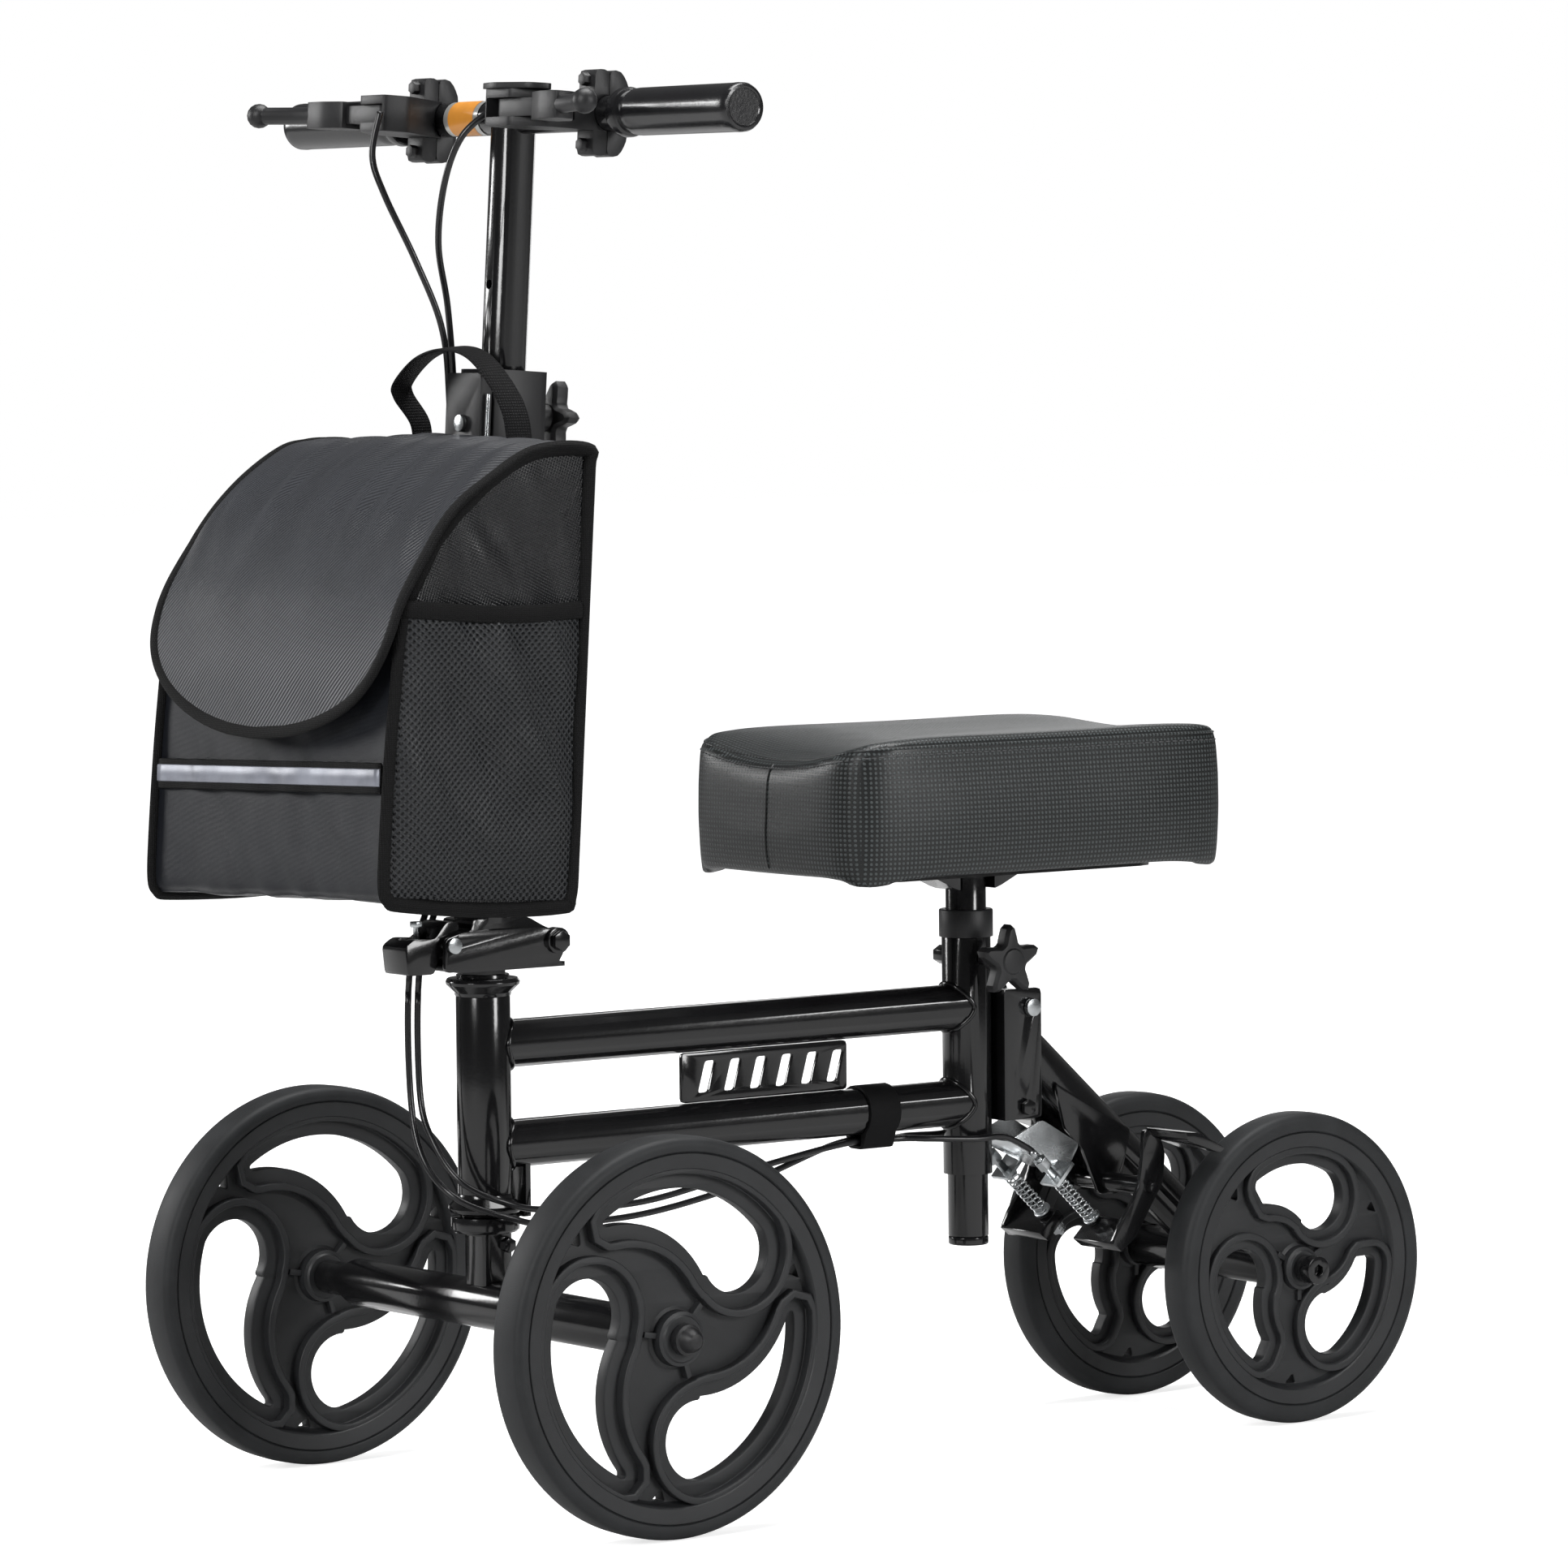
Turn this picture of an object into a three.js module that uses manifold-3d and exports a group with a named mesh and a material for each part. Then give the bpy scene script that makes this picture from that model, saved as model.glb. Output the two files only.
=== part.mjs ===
// Knee scooter. Millimetres, +Z up, travel towards -Y, the rider's left is +X.
import * as THREE from 'three';
import { mergeVertices } from 'three/addons/utils/BufferGeometryUtils.js';
import Module from 'manifold-3d';

const wasm = await Module();
wasm.setup();

// ---------- driving dimensions ----------
const GAP = 0.3; // clearance between touching pieces
const FRONT_AXLE_Y = -272.2; // puts the middle of the bounding box on the origin
const FRONT_WHEEL_RADIUS = 125;
const REAR_WHEEL_RADIUS = 105.7;
const WHEELBASE = 604;
const FRONT_WHEEL_INNER = 184;
const FRONT_WHEEL_WIDTH = 29;
const REAR_WHEEL_INNER = 74;
const REAR_WHEEL_WIDTH = 25;
const FRAME_TUBE_RADIUS = 15.5;
const TOP_TUBE_Z = 291;
const LOWER_TUBE_Z = 226.7;
const HEAD_RADIUS = 17.4;
const HEAD_BORE = 15;
const HEAD_BOTTOM = 196.6;
const HEAD_TOP = 322.7;
const STEERER_RADIUS = 12.5;
const SEAT_Y = 392.5;
const SEAT_TUBE_RADIUS = 16.5;
const SEAT_TUBE_BOTTOM = 179;
const SEAT_TUBE_TOP = 350;
const SEAT_POST_RADIUS = 13.6;
const REAR_AXLE_RADIUS = 14.3;
const BRAKE_PIVOT_Y = 501;
const BRAKE_PIVOT_Z = 166;
const BRAKE_LINE_X = 26.5;
const FOLD_PIVOT_Y = 43;
const FOLD_PIVOT_Z = 357;
const LATCH_PIN_Y = -36;
const LATCH_PIN_Z = 358;
const COLUMN_BASE = new THREE.Vector3(0, -1.5, 364);
const COLUMN_LEAN = 0.0644;
const STEM_RADIUS = 14.3;
const COLUMN_TUBE_RADIUS = 17.4;
const BAR_HEIGHT = 518; // handlebar axis, measured along the column
const BAR_RADIUS = 11.1;
const BAR_HALF = 246;
const PAD_FRONT = 228;
const PAD_REAR = 542;
const PAD_HALF_WIDTH = 96;
const PAD_BOTTOM = 388;
const PAD_TOP = 476;
const BAG_HALF_WIDTH = 130;
const BAG_BACK = -23;
const BAG_FRONT = -164;
const BAG_BOTTOM = 23;
const BAG_TOP = 306;
const BAG_WALL = 3;
const BRACKET_HALF_WIDTH = 19.5;
const BRACKET_SHEET = 3.2;
const BRACKET_TOP = 302;
const BRACKET_BOTTOM = 214;
const CLAMP_BOLT_Z = 324;
const STRAP_START = 298;
const STRAP_END = 323;
const SPINDLE_HALF = 104;
const CABLE_RADIUS = 1.95;
const SPRING_RADIUS = 4.6;
const LEVER_PIVOT_X = 72;
const LEVER_PIVOT_V = -50;
const LEVER_PIN_RADIUS = 3;
const CLAMP_REACH = 27; // half the height of the bar clamps

// ---------- finishes ----------
const FINISHES = {
  steel: { color: 0x0b0b0c, roughness: 0.22, metalness: 0.35 },
  zinc: { color: 0xc9cbcc, roughness: 0.32, metalness: 0.9 },
  plastic: { color: 0x17181a, roughness: 0.55, metalness: 0 },
  wheel: { color: 0x26282b, roughness: 0.7, metalness: 0 },
  grip: { color: 0x111214, roughness: 0.3, metalness: 0 },
  vinyl: { color: 0x1f2423, roughness: 0.5, metalness: 0 },
  fabric: { color: 0x22252c, roughness: 0.85, metalness: 0 },
  webbing: { color: 0x0e0e10, roughness: 0.9, metalness: 0 },
  cable: { color: 0x0d0d0e, roughness: 0.35, metalness: 0 },
};

// ---------- solids ----------
function solid(geometry) {
  const bare = geometry.clone();
  bare.deleteAttribute('normal');
  bare.deleteAttribute('uv');
  const welded = mergeVertices(bare, 1e-4);
  return new wasm.Manifold(new wasm.Mesh({
    numProp: 3,
    vertProperties: new Float32Array(welded.attributes.position.array),
    triVerts: new Uint32Array(welded.index.array),
  }));
}

function shell(manifold) {
  const mesh = manifold.getMesh();
  const geometry = new THREE.BufferGeometry();
  geometry.setAttribute('position', new THREE.BufferAttribute(new Float32Array(mesh.vertProperties), 3));
  geometry.setIndex(new THREE.BufferAttribute(new Uint32Array(mesh.triVerts), 1));
  geometry.computeVertexNormals();
  return geometry;
}

const join = (...geometries) => shell(geometries.map(solid).reduce((sum, next) => sum.add(next)));

function cut(body, ...tools) {
  return shell(tools.map(solid).reduce((rest, tool) => rest.subtract(tool), solid(body)));
}

function named(name, finish, geometry) {
  const mesh = new THREE.Mesh(geometry, new THREE.MeshStandardMaterial(FINISHES[finish]));
  mesh.name = name;
  return mesh;
}

const at = (x, y, z) => new THREE.Vector3(x, y, z);

// Round bar between two points.
function rod(start, end, radius, sides = 16, endRadius = radius) {
  const along = end.clone().sub(start);
  const geometry = new THREE.CylinderGeometry(endRadius, radius, along.length(), sides);
  const turn = new THREE.Quaternion().setFromUnitVectors(at(0, 1, 0), along.clone().normalize());
  geometry.applyQuaternion(turn);
  const middle = start.clone().add(end).multiplyScalar(0.5);
  return geometry.translate(middle.x, middle.y, middle.z);
}

// Round bar along X at a [y, z] place, from x0 to x1.
function crossRod([y, z], radius, x0, x1, sides = 16) {
  return rod(at(x0, y, z), at(x1, y, z), radius, sides);
}

// Hole along X, longer than any piece on the centre line that it is drilled through.
const crossBore = (place, radius, sides = 16) => crossRod(place, radius, -40, 40, sides);

// Pin or bolt along X with a head at each end.
function crossPin(place, shank, head) {
  return join(crossRod(place, shank.radius, -shank.reach, shank.reach, shank.sides),
    crossRod(place, head.radius, head.start, head.end, head.sides),
    crossRod(place, head.radius, -head.end, -head.start, head.sides));
}

// Box between two opposite corners.
function box(low, high) {
  const size = high.clone().sub(low);
  const middle = low.clone().add(high).multiplyScalar(0.5);
  return new THREE.BoxGeometry(size.x, size.y, size.z).translate(middle.x, middle.y, middle.z);
}

// Outline with every corner rounded by the same amount.
function roundedShape(points, radius) {
  const shape = new THREE.Shape();
  points.forEach((corner, i) => {
    const before = points[(i + points.length - 1) % points.length];
    const after = points[(i + 1) % points.length];
    const here = new THREE.Vector2(...corner);
    const back = new THREE.Vector2(...before).sub(here);
    const ahead = new THREE.Vector2(...after).sub(here);
    const step = Math.min(radius, back.length() * 0.45, ahead.length() * 0.45);
    const enter = here.clone().add(back.setLength(step));
    const leave = here.clone().add(ahead.setLength(step));
    const draw = i === 0 ? 'moveTo' : 'lineTo';
    shape[draw](enter.x, enter.y);
    shape.quadraticCurveTo(here.x, here.y, leave.x, leave.y);
  });
  shape.closePath();
  return shape;
}

// Plate whose outline lies in the Y-Z plane and which fills x0..x1.
function plateX(points, x0, x1, radius = 0.01, segments = 2) {
  const geometry = new THREE.ExtrudeGeometry(roundedShape(points, radius),
    { depth: x1 - x0, bevelEnabled: false, curveSegments: radius > 0.1 ? segments : 1 });
  geometry.applyMatrix4(new THREE.Matrix4().makeBasis(at(0, 1, 0), at(0, 0, 1), at(1, 0, 0)));
  return geometry.translate(x0, 0, 0);
}

// Plate whose outline lies in the X-Y plane and which fills z0..z1.
function plateZ(points, z0, z1, radius = 0.01, segments = 2) {
  const geometry = new THREE.ExtrudeGeometry(roundedShape(points, radius),
    { depth: z1 - z0, bevelEnabled: false, curveSegments: radius > 0.1 ? segments : 1 });
  return geometry.translate(0, 0, z0);
}

// Plate whose outline lies in the X-Z plane and which fills y0..y1.
function plateY(points, y0, y1, radius = 0.01, segments = 2) {
  const geometry = new THREE.ExtrudeGeometry(roundedShape(points, radius),
    { depth: y1 - y0, bevelEnabled: false, curveSegments: radius > 0.1 ? segments : 1 });
  geometry.applyMatrix4(new THREE.Matrix4().makeBasis(at(1, 0, 0), at(0, 0, 1), at(0, -1, 0)));
  return geometry.translate(0, y1, 0);
}

// Closed profile of [radius, height] pairs turned about Z; the profile starts and ends on the axis
// or returns to its first point.
function turned(profile, sides = 24) {
  const points = profile.map(([radius, height]) => new THREE.Vector2(radius, height));
  if (THREE.ShapeUtils.area(points) < 0) points.reverse();
  return new THREE.LatheGeometry(points, sides).rotateX(Math.PI / 2);
}

function ring(outer, inner, low, high, sides = 24) {
  return turned([[inner, low], [outer, low], [outer, high], [inner, high], [inner, low]], sides);
}

// Round cord swept along a smooth curve through the points.
function cord(points, radius, sides, steps) {
  const section = new THREE.Shape();
  for (let i = 0; i < sides; i += 1) {
    const angle = (i / sides) * 2 * Math.PI;
    const draw = i === 0 ? 'moveTo' : 'lineTo';
    section[draw](radius * Math.cos(angle), radius * Math.sin(angle));
  }
  section.closePath();
  const curve = new THREE.CatmullRomCurve3(points, false, 'centripetal');
  return new THREE.ExtrudeGeometry(section, { steps, bevelEnabled: false, extrudePath: curve });
}

// The same outline on the rider's left (1) or right (-1), always turning the same way round.
const handed = (side, points) => (side > 0 ? points : points.map(([x, y]) => [-x, y]).reverse());
const HANDS = [['left', 1], ['right', -1]];

const scooter = new THREE.Group();
scooter.position.y = FRONT_AXLE_Y;
const column = new THREE.Group();
column.position.copy(COLUMN_BASE);
column.rotation.x = -COLUMN_LEAN;
scooter.add(column);

// ---------- welded frame ----------
const headTube = ring(HEAD_RADIUS, HEAD_BORE, HEAD_BOTTOM, HEAD_TOP, 24);
const seatTube = ring(SEAT_TUBE_RADIUS, SEAT_POST_RADIUS + GAP, SEAT_TUBE_BOTTOM, SEAT_TUBE_TOP, 24)
  .translate(0, SEAT_Y, 0);
const topTube = rod(at(0, 0, TOP_TUBE_Z), at(0, SEAT_Y, TOP_TUBE_Z), FRAME_TUBE_RADIUS, 20);
const lowerTube = rod(at(0, 0, LOWER_TUBE_Z), at(0, SEAT_Y, LOWER_TUBE_Z), FRAME_TUBE_RADIUS, 20);
const headClear = rod(at(0, 0, HEAD_BOTTOM - 9), at(0, 0, HEAD_TOP + 9), HEAD_BORE, 24);
const seatClear = rod(at(0, SEAT_Y, SEAT_TUBE_BOTTOM - 9), at(0, SEAT_Y, SEAT_TUBE_TOP + 9),
  SEAT_POST_RADIUS + GAP, 24);
const steeringStop = plateX([[26, 216], [30, 216], [30, 180], [24.4, 180], [24.4, 183], [26, 184.5]], -8, 8);
const clampBoltBore = crossRod([SEAT_Y, CLAMP_BOLT_Z], 4.3, -30, 30, 8);
scooter.add(named('frame', 'steel',
  cut(join(headTube, seatTube, topTube, lowerTube, steeringStop), headClear, seatClear, clampBoltBore)));

const cupProfile = [[STEERER_RADIUS + 0.6, 0.2], [17.8, 0.2], [18.2, 2.5], [23.4, 7.5], [23.8, 9.5],
  [22.6, 11.8], [17, 12], [17, 14.2], [STEERER_RADIUS + 0.6, 14.2], [STEERER_RADIUS + 0.6, 0.2]];
scooter.add(named('upper_cup', 'steel', turned(cupProfile, 20).translate(0, 0, HEAD_TOP)));
scooter.add(named('lower_cup', 'steel',
  turned(cupProfile, 20).rotateX(Math.PI).translate(0, 0, HEAD_BOTTOM)));

// Name plate between the tubes, pierced with plain slanted slots.
const plateLow = LOWER_TUBE_Z + FRAME_TUBE_RADIUS + GAP;
const plateHigh = TOP_TUBE_Z - FRAME_TUBE_RADIUS - GAP;
const plateStart = 155;
const plateEnd = 290;
const plateMargin = 6;
const slotPitch = 21;
const slots = [];
for (let i = 0; i < 6; i += 1) {
  const y = plateStart + 13 + i * slotPitch;
  const low = plateLow + plateMargin;
  const high = plateHigh - plateMargin;
  slots.push(plateX([[y, low], [y + 9, low], [y + 15, high], [y + 6, high]], -5, 5, 2));
}
const plateOutline = [[plateStart, plateLow], [plateEnd, plateLow], [plateEnd, plateHigh],
  [plateStart, plateHigh]];
scooter.add(named('name_plate', 'steel', cut(plateX(plateOutline, -1.5, 1.5, 3), ...slots)));

// Strap around the lower tube, with a pouch below it for the two cables.
const strapBore = rod(at(0, STRAP_START - 9, LOWER_TUBE_Z), at(0, STRAP_END + 9, LOWER_TUBE_Z),
  FRAME_TUBE_RADIUS + GAP, 20);
const strapBody = rod(at(0, STRAP_START, LOWER_TUBE_Z), at(0, STRAP_END, LOWER_TUBE_Z),
  FRAME_TUBE_RADIUS + 2.2, 20);
const strapPouch = plateY([[-8, 202], [8, 202], [13, 218], [-13, 218]], STRAP_START, STRAP_END, 3);
const cableRoom = box(at(-5.6, STRAP_START - 5, 204), at(5.6, STRAP_END + 5, 214));
scooter.add(named('cable_strap', 'webbing', cut(join(strapBody, strapPouch), strapBore, cableRoom)));

// ---------- rear bracket and fork ----------
const bracketFront = SEAT_Y + SEAT_TUBE_RADIUS + GAP;
const bracketBack = 441;
const releasePin = [432, 289];
const pivotPin = [428, 222];
const bracketWeb = box(at(-BRACKET_HALF_WIDTH, bracketFront, BRACKET_BOTTOM),
  at(BRACKET_HALF_WIDTH, bracketFront + 3, BRACKET_TOP));
const flangeOutline = [[bracketFront, BRACKET_BOTTOM], [bracketBack, BRACKET_BOTTOM],
  [bracketBack, BRACKET_TOP], [bracketFront, BRACKET_TOP]];
const flangeInner = BRACKET_HALF_WIDTH - BRACKET_SHEET;
const bracketBores = [crossBore(releasePin, 4.4, 14), crossBore(pivotPin, 3.4, 12)];
scooter.add(named('rear_bracket', 'steel', cut(join(bracketWeb,
  plateX(flangeOutline, flangeInner, BRACKET_HALF_WIDTH, 4),
  plateX(flangeOutline, -BRACKET_HALF_WIDTH, -flangeInner, 4)), ...bracketBores)));
scooter.add(named('bracket_pin', 'zinc', crossPin(releasePin,
  { radius: 4, reach: 22, sides: 16 }, { radius: 6, start: 19.8, end: 23.5, sides: 16 })));
scooter.add(named('bracket_bolt', 'steel', crossPin(pivotPin,
  { radius: 3, reach: 22, sides: 12 }, { radius: 5.5, start: 19.8, end: 23, sides: 6 })));

const rearAxle = [WHEELBASE, REAR_WHEEL_RADIUS];
const brakePivot = [BRAKE_PIVOT_Y, BRAKE_PIVOT_Z];
const strut = rod(at(0, 427, 271), at(0, WHEELBASE - 3, 115), FRAME_TUBE_RADIUS, 20);
const insert = plateX([[414, 219], [438, 219], [438, 300], [414, 300]], -15.8, 15.8, 4);
const axleTube = crossRod(rearAxle, REAR_AXLE_RADIUS, -71.5, 71.5, 20);
const spindle = crossRod(rearAxle, 5, -SPINDLE_HALF, SPINDLE_HALF, 12);
const pivotTube = crossRod(brakePivot, 6.4, -55.5, 55.5, 12);
const pivotBolt = crossRod(brakePivot, 3.5, -65, 65, 10);
const gussetOutline = [[455, 236], [463, 205], [478, 190], [492, 158], [509, 157], [516, 185], [520, 200]];
scooter.add(named('rear_fork', 'steel', cut(join(strut, insert, axleTube, spindle, pivotTube, pivotBolt,
  plateX(gussetOutline, 14, 17, 3), plateX(gussetOutline, -17, -14, 3)), ...bracketBores)));

for (const [side, s] of HANDS) {
  const bolt = crossRod(rearAxle, 9.5, s * 100.2, s * 114, 20);
  const bore = crossRod(rearAxle, 5.3, s * 99, s * (SPINDLE_HALF + GAP), 14);
  const socket = crossRod(rearAxle, 4.2, s * 109, s * 116, 6);
  scooter.add(named(`rear_axle_bolt_${side}`, 'steel', cut(bolt, bore, socket)));
}

// Zinc bracket that carries the two cable adjusters.
const zincFlange = [[412, 200], [441, 212.5], [473, 194], [462, 176]];
const zincWeb = [[412, 200], [413.5, 202.2], [463.2, 178.2], [462, 176]];
const adjusterEar = (x) => box(at(-9, -7, -1.2), at(9, 13, 1.2)).rotateX(0.82).translate(x, 446, 174);
const adjusterStart = at(0, 434, 185.5);
const springAxis = at(0, 0.727, -0.687);
const onSpringLine = (distance, x) => at(x, adjusterStart.y, adjusterStart.z)
  .add(springAxis.clone().multiplyScalar(distance));
const adjusterBores = HANDS.map(([, s]) => rod(onSpringLine(-6, s * BRAKE_LINE_X),
  onSpringLine(30, s * BRAKE_LINE_X), 3.2, 10));
scooter.add(named('brake_bracket', 'zinc', cut(join(plateX(zincFlange, 17.5, BRACKET_HALF_WIDTH, 3),
  plateX(zincFlange, -BRACKET_HALF_WIDTH, -17.5, 3), plateX(zincWeb, -18, 18),
  adjusterEar(BRAKE_LINE_X), adjusterEar(-BRAKE_LINE_X)), ...adjusterBores)));

for (const [side, s] of HANDS) {
  const x = s * BRAKE_LINE_X;
  const barrel = rod(onSpringLine(-4, x), onSpringLine(18, x), 2.9, 12);
  const nut = rod(onSpringLine(-2, x), onSpringLine(6, x), 4.9, 6);
  const collarNut = rod(onSpringLine(18, x), onSpringLine(21.5, x), 5.4, 6);
  scooter.add(named(`cable_adjuster_${side}`, 'zinc', join(barrel, nut, collarNut)));
}

// ---------- seat clamp ----------
const collarProfile = [[SEAT_POST_RADIUS + GAP, SEAT_TUBE_TOP + GAP],
  [SEAT_POST_RADIUS + GAP, SEAT_TUBE_TOP + 6.5], [17.6, SEAT_TUBE_TOP + 6.5], [18.2, SEAT_TUBE_TOP + 5.5],
  [18.2, SEAT_TUBE_TOP - 12], [SEAT_TUBE_RADIUS + GAP, SEAT_TUBE_TOP - 12],
  [SEAT_TUBE_RADIUS + GAP, SEAT_TUBE_TOP + GAP], [SEAT_POST_RADIUS + GAP, SEAT_TUBE_TOP + GAP]];
scooter.add(named('seat_collar', 'plastic', turned(collarProfile, 24).translate(0, SEAT_Y, 0)));
const clampBolt = [SEAT_Y, CLAMP_BOLT_Z];
scooter.add(named('seat_clamp_bolt', 'steel', join(crossRod(clampBolt, 4, -30, -14.6, 12),
  crossRod(clampBolt, 6.5, -29, -17.2, 6))));

// ---------- star knobs ----------
// Five-lobed knob whose screw points along +Z of its own frame, face towards -Z.
function starKnob(screwLength) {
  const face = new THREE.Shape();
  const lobes = 5;
  const steps = 40;
  for (let i = 0; i < steps; i += 1) {
    const angle = (i / steps) * 2 * Math.PI;
    const wave = 0.5 + 0.5 * Math.cos(lobes * angle);
    const radius = 13 + 11.5 * wave ** 1.6;
    const draw = i === 0 ? 'moveTo' : 'lineTo';
    face[draw](radius * Math.cos(angle), radius * Math.sin(angle));
  }
  face.closePath();
  const bevel = { bevelEnabled: true, bevelThickness: 2.5, bevelSize: 2, bevelOffset: -2, bevelSegments: 1 };
  const star = new THREE.ExtrudeGeometry(face, { depth: 7, ...bevel }).translate(0, 0, 2.5);
  const neck = turned([[0, 8], [9.5, 8], [8, 22], [0, 22]], 14);
  const cap = turned([[0, -1.2], [8, -1.2], [9.5, 0.6], [9.5, 4], [0, 4]], 14);
  const screw = turned([[0, 20], [3.6, 20], [3.6, 22 + screwLength], [0, 22 + screwLength]], 10);
  return join(star, neck, cap, screw);
}
const seatKnob = named('seat_knob', 'plastic', starKnob(11.5));
seatKnob.rotation.y = -Math.PI / 2;
seatKnob.position.set(50.5, SEAT_Y, CLAMP_BOLT_Z);
scooter.add(seatKnob);

// ---------- seat ----------
const postTop = 383.5;
const post = ring(SEAT_POST_RADIUS, SEAT_POST_RADIUS - 2, 137, postTop, 24);
const footRing = turned([[0, 131], [12.6, 131], [13.5, 132], [13.5, 136], [11.8, 137.5], [0, 137.5]], 24);
scooter.add(named('seat_post', 'steel', join(post, footRing).translate(0, SEAT_Y, 0)));

const padPlate = plateZ([[-70, 270], [70, 270], [70, 500], [-70, 500]], postTop + GAP, PAD_BOTTOM - GAP, 14);
// Wedges under the plate, in front of the post and behind it.
const postFace = SEAT_POST_RADIUS + 1;
const wedge = (face, foot, tip) => plateX([[tip, postTop + 1], [face, postTop + 1], [face, 370], [foot, 372]],
  -13, 13, 0.5);
scooter.add(named('pad_plate', 'steel', join(padPlate, wedge(SEAT_Y - postFace, 372, 345),
  wedge(SEAT_Y + postFace, 413, 440))));

// Knee pad: stacked rounded outlines, with a shallow trough along the top that dips at the front.
function kneePad() {
  const around = 40;
  const length = (PAD_REAR - PAD_FRONT) / 2;
  const middle = (PAD_REAR + PAD_FRONT) / 2;
  const corner = 26;
  const outline = (inset, angle) => {
    const power = 5.2;
    const reachX = PAD_HALF_WIDTH - inset;
    const reachY = length - inset;
    const c = Math.cos(angle);
    const s = Math.sin(angle);
    const scale = (Math.abs(c) ** power + Math.abs(s) ** power) ** (-1 / power);
    return [reachX * c * scale, reachY * s * scale];
  };
  const trough = (x, y) => {
    const across = Math.max(0, 1 - (x / (PAD_HALF_WIDTH - 12)) ** 2);
    const front = Math.max(0, (corner * 3 - (y + length)) / (corner * 3));
    return across * (7 + 8 * front ** 1.5);
  };
  // Inset from the widest outline, height, and how much of the trough is felt there.
  const levels = [[4, PAD_BOTTOM, 0], [0.5, PAD_BOTTOM + 8, 0], [0, PAD_TOP - 46, 0], [2, PAD_TOP - 16, 0.6],
    [6, PAD_TOP - 4, 0.9], [14, PAD_TOP, 1], [40, PAD_TOP, 1], [66, PAD_TOP, 1]];
  const positions = [];
  const index = [];
  levels.forEach(([inset, z, weight]) => {
    for (let i = 0; i < around; i += 1) {
      const [x, y] = outline(inset, (i / around) * 2 * Math.PI);
      positions.push(x, y + middle, z - weight * trough(x, y));
    }
  });
  const last = levels.length - 1;
  for (let level = 0; level < last; level += 1) {
    for (let i = 0; i < around; i += 1) {
      const a = level * around + i;
      const b = level * around + ((i + 1) % around);
      index.push(a, b, b + around, a, b + around, a + around);
    }
  }
  const low = positions.length / 3;
  positions.push(0, middle, PAD_BOTTOM, 0, middle, PAD_TOP - trough(0, 0));
  for (let i = 0; i < around; i += 1) {
    const next = (i + 1) % around;
    index.push(low, next, i);
    index.push(low + 1, last * around + i, last * around + next);
  }
  const geometry = new THREE.BufferGeometry();
  geometry.setAttribute('position', new THREE.Float32BufferAttribute(positions, 3));
  geometry.setIndex(index);
  geometry.computeVertexNormals();
  return geometry;
}
scooter.add(named('knee_pad', 'vinyl', kneePad()));

// ---------- steering ----------
const steerer = rod(at(0, 0, 170), at(0, 0, 340), STEERER_RADIUS, 24);
const crown = turned([[0, 172], [20, 172], [22, 174], [22, 181.8], [0, 181.8]], 24);
const channel = plateZ([[-12.5, -9], [12.5, -9], [12.5, 13], [-12.5, 13]], 128, 174, 4);
const boltHead = rod(at(12, 7, 164), at(17.5, 7, 164), 5, 6);
const axleBore = crossBore([0, FRONT_WHEEL_RADIUS], 15.8, 28);
scooter.add(named('fork', 'steel', cut(join(steerer, crown, channel, boltHead), axleBore)));

const axleEnd = 216;
const axleShoulder = FRONT_WHEEL_INNER - 0.8;
const axleProfile = [[0, -axleEnd], [6, -axleEnd], [6, -axleShoulder], [11, -axleShoulder], [11, -160],
  [15.5, -146], [15.5, 146], [11, 160], [11, axleShoulder], [6, axleShoulder], [6, axleEnd], [0, axleEnd]];
scooter.add(named('front_axle', 'steel',
  turned(axleProfile, 24).rotateY(Math.PI / 2).translate(0, 0, FRONT_WHEEL_RADIUS)));

for (const [side, s] of HANDS) {
  const cap = turned([[6.3, 213.4], [10, 213.4], [10, 219], [8, 219.4], [7.2, 224], [4.5, 227], [0, 228],
    [0, 216.3], [6.3, 216.3], [6.3, 213.4]], 16);
  scooter.add(named(`axle_cap_${side}`, 'plastic',
    cap.rotateY(s * Math.PI / 2).translate(0, 0, FRONT_WHEEL_RADIUS)));
}

const nutBody = rod(at(0, 0, HEAD_TOP + 14.5), at(0, 0, HEAD_TOP + 17.2), 16, 6);
const nutBore = rod(at(0, 0, HEAD_TOP + 10), at(0, 0, HEAD_TOP + 20), STEERER_RADIUS + 0.4, 16);
scooter.add(named('neck_nut', 'steel', cut(nutBody, nutBore)));

// ---------- folding joint ----------
const CHEEK_IN = 16.8;
const CHEEK_OUT = 20;
const cheek = [[-42, 341], [-42, 362], [-28, 366], [30, 366], [40, 364], [50, 361], [50, 350], [44, 341]];
const foldPivot = [FOLD_PIVOT_Y, FOLD_PIVOT_Z];
const latchPivot = [LATCH_PIN_Y, LATCH_PIN_Z];
const floor = box(at(-CHEEK_OUT, -31, 340.2), at(CHEEK_OUT, 50, 343.2));
const barrel = crossRod(foldPivot, 8.4, -CHEEK_OUT - 4, CHEEK_OUT + 4, 20);
const barrelGap = box(at(-CHEEK_IN, 30, 343.2), at(CHEEK_IN, 60, 370));
scooter.add(named('fold_base', 'steel', cut(join(floor, plateX(cheek, CHEEK_IN, CHEEK_OUT, 3),
  plateX(cheek, -CHEEK_OUT, -CHEEK_IN, 3), barrel), barrelGap, crossBore(foldPivot, 4.3),
  crossBore(latchPivot, 3.3, 12))));
scooter.add(named('fold_pivot_bolt', 'steel', crossPin(foldPivot,
  { radius: 4, reach: 26, sides: 16 }, { radius: 6.6, start: 24.3, end: 28, sides: 6 })));
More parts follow.
